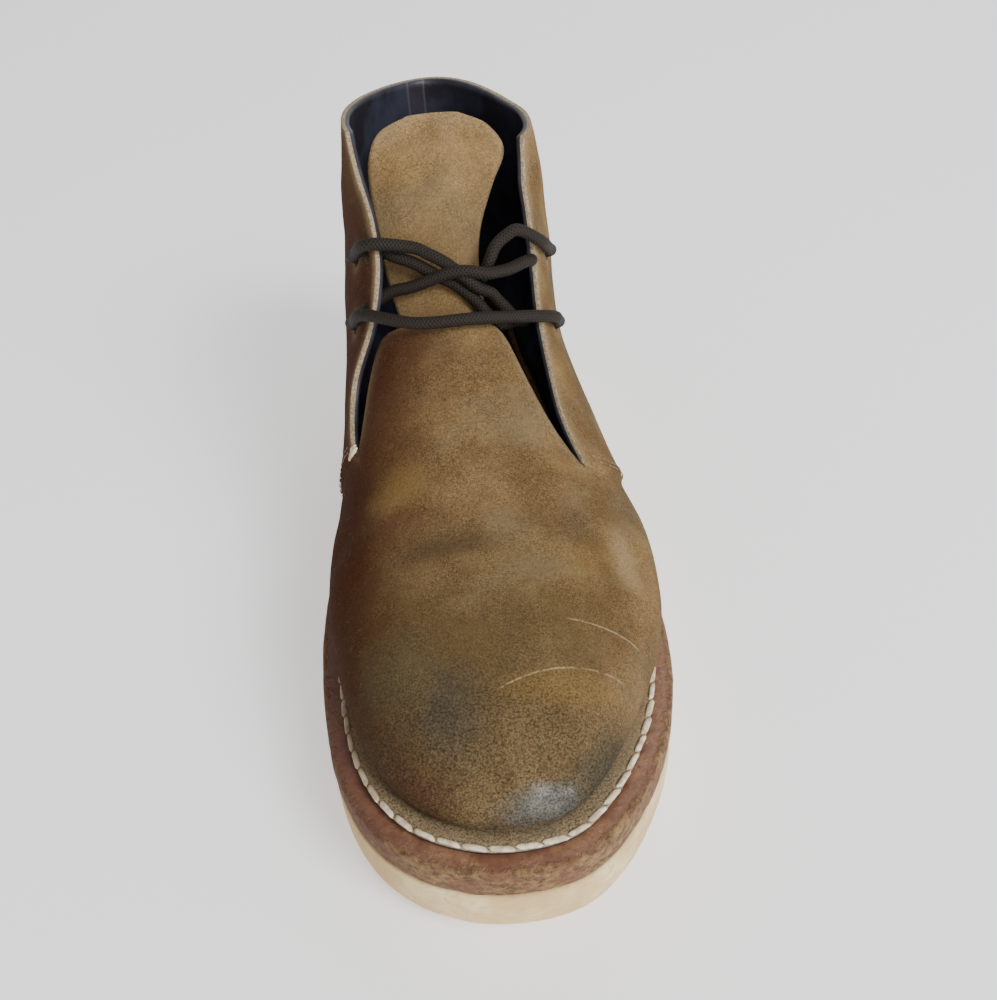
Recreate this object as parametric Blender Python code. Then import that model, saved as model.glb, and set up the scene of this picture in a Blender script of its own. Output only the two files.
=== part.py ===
"""Left chukka boot in suede on a stitched-down leather midsole and a pale rubber sole.

Metres, +Z up. The toe points to -Y and the heel to +Y. -X is the inner (big toe) side.
The ground is at z = 0, and y = 0 is the middle of the boot's length.
"""

import math

import bmesh
import bpy
import numpy as np
from mathutils import Matrix, Vector

# Driving sizes
LENGTH = 0.304  # outsole, toe to heel
BALL_WIDTH = 0.110  # unit of widths: the outsole at the ball is 0.98 of it
COLLAR_HEIGHT = 0.142  # front of the collar above the ground
TOE_SPRING = 0.0055  # underside of the toe above the ground
HEEL_LIFT = 0.012  # height of the heel block
OUTSOLE_THICKNESS = 0.0157
MIDSOLE_THICKNESS = 0.0107
INSOLE_THICKNESS = 0.003
SOLE_MARGIN = 0.0058  # sole edge beyond the turned-out edge of the upper
FLANGE_WIDTH = 0.006  # turned-out edge of the upper
FLANGE_THICKNESS = 0.002
WALL = 0.0028  # suede with its lining
OVERLAY = 0.0017  # the quarters lie this much above the vamp
TONGUE_THICKNESS = 0.0026
LACE_DIAMETER = 0.0038
LACE_REST = 0.0005  # lace above the facing that it lies on
EYELET_DIAMETER = 0.0054
EYELET_INSET = 0.0145  # middle of an eyelet behind the facing's edge
HEEL_BREAST = 0.715  # front of the heel block, share of LENGTH from the toe
CLEARANCE = 0.0004
SIDE_SHIFT = -0.0018  # brings the middle of the outline to x = 0

EDGE_INSET = SOLE_MARGIN + FLANGE_WIDTH
MIDSOLE_BASE = OUTSOLE_THICKNESS + CLEARANCE
STACK = MIDSOLE_BASE + MIDSOLE_THICKNESS
FEATHER_RISE = STACK + CLEARANCE + FLANGE_THICKNESS

# The feather line, where the wall of the upper meets its turned-out edge, toe to heel.
# station: share of LENGTH. inner, outer: distance from the middle, shares of BALL_WIDTH.
FEATHER = (
    # name, station, inner, outer
    ("toe end", 0.0388, 0.000, 0.000),
    ("toe turn", 0.0447, 0.092, 0.110),
    ("toe corner", 0.0645, 0.193, 0.181),
    ("toe side", 0.1013, 0.274, 0.257),
    ("toe back", 0.1563, 0.329, 0.332),
    ("ball front", 0.2300, 0.357, 0.384),
    ("ball", 0.3130, 0.366, 0.399),
    ("vamp", 0.3980, 0.350, 0.377),
    ("seam", 0.4870, 0.302, 0.350),
    ("instep", 0.5850, 0.262, 0.321),
    ("waist", 0.6840, 0.237, 0.285),
    ("arch back", 0.7760, 0.233, 0.251),
    ("heel front", 0.8610, 0.224, 0.233),
    ("heel side", 0.9194, 0.180, 0.182),
    ("heel corner", 0.9530, 0.092, 0.092),
    ("heel end", 0.9632, 0.000, 0.000),
)
HEEL_ROW = len(FEATHER) - 1

# The back line above the heel end. height: share of COLLAR_HEIGHT above the ground.
# taper: how much narrower than an ellipse the section is at its back.
BACK_LINE = (
    # name, station, height, taper
    ("heel end", 0.9632, 0.292, 0.00),
    ("counter", 0.9790, 0.380, 0.00),
    ("counter top", 0.9810, 0.490, 0.00),
    ("tendon", 0.9700, 0.620, 0.04),
    ("shaft", 0.9570, 0.760, 0.08),
    ("collar", 0.9500, 0.900, 0.12),
)

# Sections of the upper. Each one's plane runs from its ridge to the feather or back line.
# station: ridge, share of LENGTH. height: ridge, share of COLLAR_HEIGHT above the ground.
# inner, outer: widest half-widths, shares of BALL_WIDTH. belly: share of the way down there.
# crown: roundness of each side above the belly, 2 is an ellipse and more is boxier.
SECTIONS = (
    # name, station, height, inner, outer, belly, inner crown, outer crown
    ("toe end", 0.0388, 0.231, 0.000, 0.000, 0.75, 2.10, 2.10),
    ("toe turn", 0.0450, 0.293, 0.100, 0.117, 0.75, 2.10, 2.10),
    ("toe corner", 0.0650, 0.344, 0.208, 0.199, 0.75, 2.15, 2.15),
    ("toe side", 0.1013, 0.392, 0.297, 0.281, 0.76, 2.20, 2.20),
    ("toe back", 0.1563, 0.424, 0.360, 0.366, 0.77, 2.20, 2.15),
    ("ball front", 0.2300, 0.449, 0.411, 0.455, 0.78, 2.10, 2.05),
    ("ball", 0.2960, 0.482, 0.434, 0.489, 0.77, 1.95, 1.95),
    ("vamp", 0.3420, 0.516, 0.427, 0.486, 0.75, 1.85, 1.85),
    ("seam", 0.3750, 0.545, 0.398, 0.445, 0.72, 1.85, 1.80),
    ("instep", 0.4080, 0.596, 0.362, 0.397, 0.69, 2.30, 1.85),
    ("waist", 0.4470, 0.670, 0.349, 0.351, 0.66, 2.20, 1.90),
    ("arch back", 0.4860, 0.750, 0.337, 0.326, 0.63, 2.10, 2.00),
    ("heel front", 0.5260, 0.828, 0.333, 0.325, 0.60, 2.20, 2.20),
    ("heel side", 0.5620, 0.892, 0.320, 0.327, 0.57, 2.40, 2.40),
    ("heel corner", 0.5870, 0.934, 0.3130, 0.3250, 0.545, 2.50, 2.50),
    ("heel end", 0.5980, 0.954, 0.3105, 0.3240, 0.532, 2.55, 2.55),
    ("counter", 0.6030, 0.964, 0.3055, 0.3190, 0.510, 2.65, 2.65),
    ("counter top", 0.6070, 0.974, 0.2980, 0.3130, 0.485, 2.70, 2.70),
    ("tendon", 0.6105, 0.983, 0.2845, 0.3030, 0.460, 2.75, 2.75),
    ("shaft", 0.6140, 0.992, 0.2730, 0.2890, 0.440, 2.80, 2.80),
    ("collar", 0.6180, 1.000, 0.2640, 0.2765, 0.420, 2.85, 2.85),
)
SEAM_ROW = 8
COLLAR_ROW = len(SECTIONS) - 1

# Edges of the facings from the throat corners to the collar, on the sections from the seam on.
# inner, outer: distance from the middle, shares of BALL_WIDTH.
FACINGS = (
    # name, inner, outer
    ("seam", 0.302, 0.302),
    ("instep", 0.322, 0.262),
    ("waist", 0.302, 0.246),
    ("arch back", 0.232, 0.236),
    ("heel front", 0.196, 0.236),
    ("heel side", 0.198, 0.232),
    ("heel corner", 0.212, 0.228),
    ("heel end", 0.220, 0.228),
    ("counter", 0.226, 0.230),
    ("counter top", 0.231, 0.231),
    ("tendon", 0.236, 0.232),
    ("shaft", 0.241, 0.233),
    ("collar", 0.246, 0.235),
)
# Rows of SECTIONS with an eyelet on the inner and outer facing
EYELETS = ((11.15, 10.85), (12.5, 12.4))

# The inner throat corner lies further back than the section's plane and the outer one further
# forward, in rows of SECTIONS.
INNER_SKEW = 0.62
OUTER_SKEW = -0.22
OUTER_COLLAR_DROP = 0.0046  # outer corner of the collar below the section's plane

# The vamp's tab between the facings. section: row of SECTIONS that its cut is based on.
VAMP_TAB = (
    # section, station, height, inner, outer
    (8.00, 0.3750, 0.545, 0.302, 0.302),
    (8.70, 0.4060, 0.577, 0.288, 0.248),
    (9.30, 0.4370, 0.612, 0.270, 0.206),
    (9.85, 0.4670, 0.649, 0.248, 0.168),
    (10.25, 0.4900, 0.678, 0.226, 0.142),
    (10.48, 0.5030, 0.695, 0.200, 0.116),
    (10.60, 0.5085, 0.702, 0.150, 0.060),
)

# The tongue, from under the tab to its rounded top. sag: fall of its edges.
TONGUE = (
    # station, height, inner, outer, sag
    (0.4020, 0.532, 0.148, 0.130, 0.052),
    (0.4450, 0.577, 0.152, 0.132, 0.052),
    (0.4900, 0.627, 0.144, 0.130, 0.052),
    (0.5250, 0.685, 0.152, 0.100, 0.048),
    (0.5650, 0.760, 0.182, 0.084, 0.044),
    (0.6060, 0.830, 0.200, 0.100, 0.048),
    (0.6430, 0.896, 0.210, 0.150, 0.046),
    (0.6680, 0.945, 0.206, 0.194, 0.036),
    (0.6840, 0.980, 0.168, 0.150, 0.018),
    (0.6910, 0.997, 0.080, 0.068, 0.004),
)

# Lace paths between the facings as x (share of BALL_WIDTH), station and height (share of
# COLLAR_HEIGHT). The bar joins the lower eyelets. A strand rises from it to each upper eyelet.
LACE_BAR = (
    (-0.110, 0.4985, 0.7120),
    (0.060, 0.4975, 0.7115),
)
LACE_TO_OUTER = (
    (-0.090, 0.4985, 0.7120),
    (-0.010, 0.5160, 0.7270),
    (0.090, 0.5340, 0.7630),
)
LACE_TO_INNER = (
    (0.110, 0.4978, 0.7110),
    (0.030, 0.5160, 0.7290),
    (-0.070, 0.5350, 0.7650),
)

# How finely the surfaces are cut
TOE_STEPS = (0.0, 0.35, 0.7, 1.0, 1.5)
STEP = 0.5
TAB_COLUMNS = 5
WALL_COLUMNS = 10
SECTION_SAMPLES = 60
TONGUE_COLUMNS = 4
LACE_SIDES = 8
SHARP_ANGLE = math.radians(50)

SUEDE = (0.300, 0.205, 0.098)
LINING = (0.020, 0.022, 0.035)
BROWN_LEATHER = (0.210, 0.085, 0.050)
CREAM_RUBBER = (0.640, 0.520, 0.380)
DARK_CORD = (0.045, 0.030, 0.026)


def clear_scene():
    for item in list(bpy.data.objects):
        bpy.data.objects.remove(item, do_unlink=True)


def column(table, index):
    return [row[index] for row in table]


def spline(values, u, flat_start=False, flat_end=False):
    """A cubic curve through a table's column, at row u. A flat end has no slope there."""
    last = len(values) - 1
    i = int(min(max(math.floor(u), 0), last - 1))
    t = u - i

    def slope(k):
        if k == 0:
            return 0.0 if flat_start else values[1] - values[0]
        if k == last:
            return 0.0 if flat_end else values[last] - values[last - 1]
        return (values[k + 1] - values[k - 1]) / 2

    return (
        values[i] * (2 * t**3 - 3 * t**2 + 1)
        + slope(i) * (t**3 - 2 * t**2 + t)
        + values[i + 1] * (3 * t**2 - 2 * t**3)
        + slope(i + 1) * (t**3 - t**2)
    )


def smoothstep(low, high, value):
    t = min(max((value - low) / (high - low), 0.0), 1.0)
    return t * t * (3 - 2 * t)


def y_at(station):
    return (station - 0.5) * LENGTH


def lift(y):
    """Height of the outsole's underside above the ground."""
    station = y / LENGTH + 0.5
    toe = max(1.0 - station / 0.27, 0.0)
    return TOE_SPRING * toe**1.7 + HEEL_LIFT * smoothstep(0.42, 0.72, station)


def feather_point(u, side):
    """A point of the feather line. side is -1 for the inner side and 1 for the outer side."""
    y = y_at(spline(column(FEATHER, 1), u, True, True))
    x = side * spline(column(FEATHER, 2 if side < 0 else 3), u) * BALL_WIDTH
    return np.array([x, y, lift(y) + FEATHER_RISE])


def outward(u, side):
    """Level direction square to the feather line, away from the boot."""
    if u <= 0:
        return np.array([0.0, -1.0, 0.0])
    if u >= HEEL_ROW:
        return np.array([0.0, 1.0, 0.0])
    edge = feather_point(min(u + 0.02, HEEL_ROW), side) - feather_point(max(u - 0.02, 0.0), side)
    direction = np.array([edge[1], -edge[0], 0.0]) * side
    return direction / np.linalg.norm(direction)


def outline_point(u, side, distance, height):
    """The feather line moved outwards by a distance, at a height above the outsole's underside."""
    point = feather_point(u, side) + outward(u, side) * distance
    point[2] = lift(point[1]) + height
    return point


def section_ends(u):
    """The ridge point of a section and the lowest or rearmost point of its plane."""
    ridge_y = y_at(spline(column(SECTIONS, 1), u, True))
    ridge_z = spline(column(SECTIONS, 2), u) * COLLAR_HEIGHT
    if u <= HEEL_ROW:
        foot = feather_point(u, 1)
        foot_y, foot_z = foot[1], foot[2]
    else:
        foot_y = y_at(spline(column(BACK_LINE, 1), u - HEEL_ROW))
        foot_z = spline(column(BACK_LINE, 2), u - HEEL_ROW) * COLLAR_HEIGHT
    return np.array([0.0, ridge_y, ridge_z]), np.array([0.0, foot_y, foot_z])


def section_curve(u, side, ridge=None):
    """Points of one side of a section, from the ridge to the feather or the back line."""
    own_ridge, foot = section_ends(u)
    ridge = own_ridge if ridge is None else np.array(ridge)
    width = spline(column(SECTIONS, 3 if side < 0 else 4), u) * BALL_WIDTH
    belly = spline(column(SECTIONS, 5), u)
    crown = spline(column(SECTIONS, 6 if side < 0 else 7), u)
    reach = abs(feather_point(u, side)[0]) if u < HEEL_ROW else 0.0
    width = max(width, reach * 1.01, 1e-6)
    taper = spline(column(BACK_LINE, 3), max(u - HEEL_ROW, 0.0))
    turn = math.acos(min(reach / width, 1.0))
    points = []
    for i in range(SECTION_SAMPLES + 1):
        angle = (math.pi / 2 + turn) * i / SECTION_SAMPLES
        if angle <= math.pi / 2:
            x = width * math.sin(angle) ** (2 / crown)
            down = belly * (1 - max(math.cos(angle), 0.0) ** (2 / crown))
        else:
            beyond = angle - math.pi / 2
            x = width * math.cos(beyond) * (1 - taper * math.sin(beyond) ** 2)
            down = belly + (1 - belly) * math.sin(beyond) / math.sin(turn)
        point = ridge + (foot - ridge) * down
        point[0] = side * x
        points.append(point)
    return np.array(points)


def cumulative(curve):
    steps = np.linalg.norm(np.diff(curve, axis=0), axis=1)
    return np.concatenate([[0.0], np.cumsum(steps)])


def at_share(curve, share):
    """The point of a curve at a share of its length."""
    length = cumulative(curve)
    return np.array([np.interp(share * length[-1], length, curve[:, i]) for i in range(3)])


def share_at_width(curve, x):
    """The share of a section's length at which it is first this far from the middle."""
    length = cumulative(curve)
    reach = np.abs(curve[:, 0])
    widest = int(np.argmax(reach)) + 1
    return float(np.interp(x, reach[:widest], length[:widest]) / length[-1])


def tab_ridge(u):
    """Ridge of the vamp's tab above section u."""
    rows = column(VAMP_TAB, 0)
    row = float(np.interp(u, rows, range(len(rows))))
    height = spline(column(VAMP_TAB, 2), row) * COLLAR_HEIGHT
    return np.array([0.0, y_at(spline(column(VAMP_TAB, 1), row)), height])


def facing_share(u, side):
    """Where the facing's edge is on the section, as a share of its length."""
    edge = spline(column(FACINGS, 1 if side < 0 else 2), u - SEAM_ROW) * BALL_WIDTH
    return share_at_width(section_curve(u, side), edge)


def wall_point(u, side, share, ridge=None):
    """A point of the wall's outer face at a share of a section, and the direction square to it."""
    point = at_share(section_curve(u, side, ridge), share)
    at = max(u, 0.15)
    low = at_share(section_curve(at - 0.1, side), share)
    high = at_share(section_curve(min(at + 0.1, COLLAR_ROW), side), share)
    here = section_curve(at, side)
    across = at_share(here, min(share + 0.01, 1.0)) - at_share(here, max(share - 0.01, 0.0))
    normal = np.cross(across, high - low) * side
    if share <= 0 or (share >= 1 and u >= HEEL_ROW):
        normal[0] = 0.0
    return point, normal / np.linalg.norm(normal)


class Sheet:
    """A sheet with two faces, filled in as quads between named places and closed at its edges."""

    def __init__(self):
        self.places = {}
        self.outer = []
        self.inner = []
        self.quads = []

    def place(self, name, outer, inner):
        if name not in self.places:
            self.places[name] = len(self.outer)
            self.outer.append(outer)
            self.inner.append(inner)

    def quad(self, *names):
        corners = list(dict.fromkeys(self.places[name] for name in names))
        if len(corners) > 2:
            self.quads.append(corners)

    def mesh(self, name):
        count = len(self.outer)
        faces = []
        used = {}
        for corners in self.quads:
            faces.append(corners)
            faces.append([count + corner for corner in reversed(corners)])
            for a, b in zip(corners, corners[1:] + corners[:1]):
                used[(a, b)] = True
        for a, b in used:
            if (b, a) not in used:
                faces.append([b, a, count + a, count + b])
        mesh = bpy.data.meshes.new(name)
        mesh.from_pydata([tuple(p) for p in self.outer + self.inner], [], faces)
        return mesh


def add_object(name, mesh, material):
    work = bmesh.new()
    work.from_mesh(mesh)
    bmesh.ops.recalc_face_normals(work, faces=work.faces)
    bmesh.ops.triangulate(work, faces=work.faces)
    work.to_mesh(mesh)
    work.free()
    mesh.transform(Matrix.Translation((SIDE_SHIFT, 0, 0)))
    mesh.shade_smooth()
    mesh.set_sharp_from_angle(angle=SHARP_ANGLE)
    item = bpy.data.objects.new(name, mesh)
    bpy.context.collection.objects.link(item)
    mesh.materials.append(material)
    return item


def make_material(name, colour, roughness, metallic=0.0):
    material = bpy.data.materials.new(name)
    material.use_nodes = True
    shader = material.node_tree.nodes["Principled BSDF"]
    shader.inputs["Base Color"].default_value = (*colour, 1.0)
    shader.inputs["Roughness"].default_value = roughness
    shader.inputs["Metallic"].default_value = metallic
    return material


def ring_rows():
    """Section rows of the vamp and of the quarters."""
    vamp = list(TOE_STEPS)
    while vamp[-1] < SEAM_ROW:
        vamp.append(vamp[-1] + STEP)
    quarters = [SEAM_ROW + 0.03, SEAM_ROW + STEP]
    while quarters[-1] < COLLAR_ROW:
        quarters.append(quarters[-1] + STEP)
    return vamp, quarters


def place_flange(sheet, u, ring, side):
    """The feather point and the two places of the turned-out edge."""
    if u > HEEL_ROW:
        return
    at_end = u in (0, HEEL_ROW)
    name_side = 0 if at_end else side
    base = STACK + CLEARANCE
    feather = outline_point(u, side, 0.0, base + FLANGE_THICKNESS)
    inside = outline_point(u, side, -WALL, base)
    sheet.place(("feather", ring, name_side), feather, inside)
    over = outline_point(u, side, FLANGE_WIDTH, base + FLANGE_THICKNESS)
    under = outline_point(u, side, FLANGE_WIDTH, base)
    sheet.place(("flange", ring, name_side), over, under)


def wall_name(u, ring, side, index):
    """Name of a wall place: the toe end is one point, and the sides meet at the ridge and back."""
    if u == 0:
        return ("feather", ring, 0)
    if index == TAB_COLUMNS + WALL_COLUMNS:
        if u <= HEEL_ROW:
            return ("feather", ring, 0 if u == HEEL_ROW else side)
        return ("back", ring)
    if index == 0:
        return ("ridge", ring)
    return ("wall", ring, side, index)


def wall_share(start, index):
    """Shares of a section below the throat, closer together at the feather and the heel."""
    even = index / WALL_COLUMNS
    return start + (1 - start) * (even + 0.12 * math.sin(math.pi * even))


def skewed(u, side, share, split):
    """Section row of a place: near the throat, places lie ahead of or behind their own ring."""
    near = smoothstep(SEAM_ROW - 4.5, SEAM_ROW, u) * (1 - smoothstep(SEAM_ROW, SEAM_ROW + 3.5, u))
    across = smoothstep(0.0, split, share) * (1 - smoothstep(split, 1.0, share))
    return u + (INNER_SKEW if side < 0 else OUTER_SKEW) * near * across


def collar_drop(u, side, share, edge):
    """The outer front corner of the collar is lower."""
    if side < 0:
        return np.zeros(3)
    fade = smoothstep(SEAM_ROW + 4, COLLAR_ROW, u) * (1 - smoothstep(0.5 + edge / 2, 1.0, share))
    return np.array([0.0, 0.0, -OUTER_COLLAR_DROP * fade])


def upper_sheet():
    """The vamp with its tab, the quarters and the turned-out edge as one sheet."""
    sheet = Sheet()
    vamp, quarters = ring_rows()
    last = TAB_COLUMNS + WALL_COLUMNS
    for side in (-1, 1):
        corner = facing_share(skewed(SEAM_ROW, side, 0.5, 0.5), side)
        for ring, u in enumerate(vamp):
            place_flange(sheet, u, ring, side)
            blend = smoothstep(1.0, SEAM_ROW, u)
            split = TAB_COLUMNS / last * (1 - blend) + corner * blend
            for i in range(last + 1):
                share = split * i / TAB_COLUMNS
                if i > TAB_COLUMNS:
                    share = wall_share(split, i - TAB_COLUMNS)
                point, normal = wall_point(skewed(u, side, share, split), side, share)
                sheet.place(wall_name(u, ring, side, i), point, point - normal * WALL)
        for step, u in enumerate(quarters):
            ring = len(vamp) + step
            place_flange(sheet, u, ring, side)
            edge = facing_share(skewed(u, side, 0.5, 0.5), side)
            for i in range(WALL_COLUMNS + 1):
                share = wall_share(edge, i)
                point, normal = wall_point(skewed(u, side, share, edge), side, share)
                above = 1.0 - smoothstep(0.88, 1.0, share) * (u < HEEL_ROW)
                top = point + normal * OVERLAY * above + collar_drop(u, side, share, edge)
                name = wall_name(u, ring, side, TAB_COLUMNS + i)
                sheet.place(name, top, top - normal * WALL)
        for step in range(1, len(VAMP_TAB)):
            row = VAMP_TAB[step][0]
            half = VAMP_TAB[step][3 if side < 0 else 4] * BALL_WIDTH
            for i in range(TAB_COLUMNS + 1):
                at = row + (skewed(row, side, 0.5, 0.5) - row) * smoothstep(0, 1, i / TAB_COLUMNS)
                ridge = tab_ridge(at)
                curve = section_curve(at, side, ridge)
                share = share_at_width(curve, half) * i / TAB_COLUMNS
                point, normal = wall_point(at, side, share, ridge)
                sheet.place(("tab", step, 0 if i == 0 else side, i), point, point - normal * WALL)
    fill_upper(sheet, vamp, quarters)
    return sheet


def fill_upper(sheet, vamp, quarters):
    rings = vamp + quarters
    last = TAB_COLUMNS + WALL_COLUMNS

    def turn(side, names):
        return names if side > 0 else names[::-1]

    for side in (-1, 1):
        for ring in range(len(rings) - 1):
            u, after = rings[ring], rings[ring + 1]
            first = 0 if ring + 1 < len(vamp) else TAB_COLUMNS
            for i in range(first, last):
                names = [
                    wall_name(u, ring, side, i),
                    wall_name(u, ring, side, i + 1),
                    wall_name(after, ring + 1, side, i + 1),
                    wall_name(after, ring + 1, side, i),
                ]
                sheet.quad(*turn(side, names))
            if after <= HEEL_ROW:
                here = 0 if u == 0 else side
                there = 0 if after == HEEL_ROW else side
                names = [
                    ("feather", ring, here),
                    ("flange", ring, here),
                    ("flange", ring + 1, there),
                    ("feather", ring + 1, there),
                ]
                sheet.quad(*turn(side, names))
        seam = len(vamp) - 1

        def tab_name(step, i):
            if step == 0:
                return wall_name(SEAM_ROW, seam, side, i)
            return ("tab", step, 0 if i == 0 else side, i)

        for step in range(len(VAMP_TAB) - 1):
            for i in range(TAB_COLUMNS):
                names = [
                    tab_name(step, i),
                    tab_name(step, i + 1),
                    tab_name(step + 1, i + 1),
                    tab_name(step + 1, i),
                ]
                sheet.quad(*turn(side, names))


def eyelet_centre(u, side):
    """Middle of an eyelet on the outer face of a facing, and the hole's direction."""
    length = cumulative(section_curve(u, side))[-1]
    point, normal = wall_point(u, side, facing_share(u, side) + EYELET_INSET / length)
    return point + normal * OVERLAY, normal


def cut_eyelet(upper, name, centre, direction):
    """A round hole through the facing, as a Boolean with a hidden cylinder."""
    bpy.ops.mesh.primitive_cylinder_add(vertices=16, radius=EYELET_DIAMETER / 2, depth=0.012)
    cutter = bpy.context.object
    cutter.name = name
    cutter.rotation_mode = "QUATERNION"
    cutter.rotation_quaternion = Vector(direction).to_track_quat("Z", "Y")
    cutter.location = Vector(centre) + Vector((SIDE_SHIFT, 0, 0))
    cutter.hide_render = True
    cutter.display_type = "WIRE"
    cut = upper.modifiers.new(name, "BOOLEAN")
    cut.operation = "DIFFERENCE"
    cut.solver = "EXACT"
    cut.object = cutter


def build_upper(material):
    upper = add_object("upper", upper_sheet().mesh("upper"), material)
    for number, rows in enumerate(EYELETS, 1):
        for u, side, label in zip(rows, (-1, 1), ("inner", "outer")):
            centre, direction = eyelet_centre(u, side)
            cut_eyelet(upper, "hole_" + label + "_" + str(number), centre, direction)
    return upper


def loop_rows():
    rows = [0.0, 0.35, 0.7, 1.0]
    while rows[-1] < HEEL_ROW - 1:
        rows.append(rows[-1] + STEP)
    return rows + [HEEL_ROW - 0.65, HEEL_ROW - 0.3, HEEL_ROW]


def layered(name, layers, material, rows=None, point=outline_point):
    """A flat-lying solid from outlines, each a distance from the feather line and a height.

    The outlines run round from the heel end. Rows of their own start at a straight front.
    """
    first = 1 if rows is None else 0
    rows = loop_rows() if rows is None else rows
    sides = [(-1, u) for u in reversed(rows)] + [(1, u) for u in rows[first:-1]]
    count = len(sides)
    points = []
    for distance, height in layers:
        points += [tuple(point(u, side, distance, height)) for side, u in sides]
    faces = []
    for level in range(len(layers) - 1):
        for i in range(count):
            a, b = level * count + i, level * count + (i + 1) % count
            faces.append([a, b, b + count, a + count])
    for base, flip in ((0, True), ((len(layers) - 1) * count, False)):
        left, right = 0, count
        while right - left > 1:
            ring = [left, left + 1, right - 1, right % count]
            ring = [base + k for k in dict.fromkeys(ring)]
            if len(ring) > 2:
                faces.append(ring[::-1] if flip else ring)
            left, right = left + 1, right - 1
    mesh = bpy.data.meshes.new(name)
    mesh.from_pydata(points, [], faces)
    return add_object(name, mesh, material)


def build_outsole(material):
    edge = EDGE_INSET
    layers = (
        (edge - 0.0035, 0.0),
        (edge - 0.0012, 0.0009),
        (edge, 0.0035),
        (edge, OUTSOLE_THICKNESS - 0.0006),
        (edge - 0.0006, OUTSOLE_THICKNESS),
    )
    return layered("outsole", layers, material)


def build_midsole(material):
    edge = EDGE_INSET - 0.0002
    top = STACK
    layers = (
        (edge - 0.0006, MIDSOLE_BASE),
        (edge, MIDSOLE_BASE + 0.0006),
        (edge + 0.0002, MIDSOLE_BASE + 0.0050),
        (edge - 0.0004, top - 0.0014),
        (edge - 0.0014, top - 0.0004),
        (edge - 0.0028, top),
    )
    return layered("midsole", layers, material)


def build_insole(material):
    inset = -(WALL + 0.0013)
    base = STACK + CLEARANCE
    top = base + INSOLE_THICKNESS
    layers = ((inset, base), (inset, top - 0.0006), (inset - 0.0006, top))
    return layered("insole", layers, material)


def outline_row(side, distance, station):
    """Row of the feather line whose outline, moved outwards, reaches a station."""
    low, high = SEAM_ROW, HEEL_ROW
    for _ in range(40):
        middle = (low + high) / 2
        if outline_point(middle, side, distance, 0.0)[1] < y_at(station):
            low = middle
        else:
            high = middle
    return low


def build_heel(material):
    """The block under the seat, with a straight front."""
    edge = EDGE_INSET - 0.0004
    front = {side: outline_row(side, edge, HEEL_BREAST) for side in (-1, 1)}
    back = [u for u in loop_rows() if u > max(front.values()) + 0.2]

    def block_point(u, side, distance, level):
        point = outline_point(front[side] if u == 0 else u, side, distance, -CLEARANCE)
        if u == 0:
            point[1] = y_at(HEEL_BREAST)
        point[2] *= level
        return point

    layers = (
        (edge - 0.0020, 0.0),
        (edge - 0.0006, 0.10),
        (edge, 0.94),
        (edge - 0.0006, 1.0),
    )
    return layered("heel", layers, material, rows=[0.0] + back, point=block_point)


def build_tongue(material):
    sheet = Sheet()
    steps = 2 * (len(TONGUE) - 1)
    columns = range(-TONGUE_COLUMNS, TONGUE_COLUMNS + 1)

    def surface(row, share):
        half = spline(column(TONGUE, 2 if share < 0 else 3), row) * BALL_WIDTH
        sag = spline(column(TONGUE, 4), row) * BALL_WIDTH
        y = y_at(spline(column(TONGUE, 0), row))
        z = spline(column(TONGUE, 1), row) * COLLAR_HEIGHT
        return np.array([share * half, y + 0.5 * sag * share**2, z - sag * share**2])

    for step in range(steps + 1):
        row = step / 2
        for index in columns:
            share = index / TONGUE_COLUMNS
            last = len(TONGUE) - 1
            forward = surface(min(row + 0.1, last), share) - surface(max(row - 0.1, 0), share)
            across = surface(row, min(share + 0.1, 1)) - surface(row, max(share - 0.1, -1))
            normal = np.cross(across, forward)
            normal /= np.linalg.norm(normal)
            point = surface(row, share)
            sheet.place((step, index), point, point - normal * TONGUE_THICKNESS)
    for step in range(steps):
        for index in columns[:-1]:
            sheet.quad((step, index), (step, index + 1), (step + 1, index + 1), (step + 1, index))
    return add_object("tongue", sheet.mesh("tongue"), material)


def lace_end(u, side):
    """Where the lace lies over a facing: above its edge and above its eyelet."""
    edge, normal = wall_point(u, side, facing_share(u, side))
    above = OVERLAY + LACE_REST + LACE_DIAMETER / 2
    centre, direction = eyelet_centre(u, side)
    return [edge + normal * above, centre + direction * (above - OVERLAY)]


def lace_middle(path):
    return [np.array([x * BALL_WIDTH, y_at(at), height * COLLAR_HEIGHT]) for x, at, height in path]


def lace_tube(name, path, material):
    """A round cord along a smooth curve through a path's points."""
    curve = bpy.data.curves.new(name, "CURVE")
    curve.dimensions = "3D"
    line = curve.splines.new("BEZIER")
    line.bezier_points.add(len(path) - 1)
    for knot, point in zip(line.bezier_points, path):
        knot.co = point
        knot.handle_left_type = "AUTO"
        knot.handle_right_type = "AUTO"
    curve.resolution_u = 4
    curve.bevel_depth = LACE_DIAMETER / 2
    curve.bevel_resolution = LACE_SIDES // 2 - 2
    curve.use_fill_caps = True
    item = bpy.data.objects.new(name, curve)
    bpy.context.collection.objects.link(item)
    view = bpy.context.evaluated_depsgraph_get()
    view.update()
    mesh = bpy.data.meshes.new_from_object(item.evaluated_get(view))
    bpy.data.objects.remove(item, do_unlink=True)
    work = bmesh.new()
    work.from_mesh(mesh)
    bmesh.ops.remove_doubles(work, verts=work.verts, dist=1e-6)
    work.to_mesh(mesh)
    work.free()
    return add_object(name, mesh, material)


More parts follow.
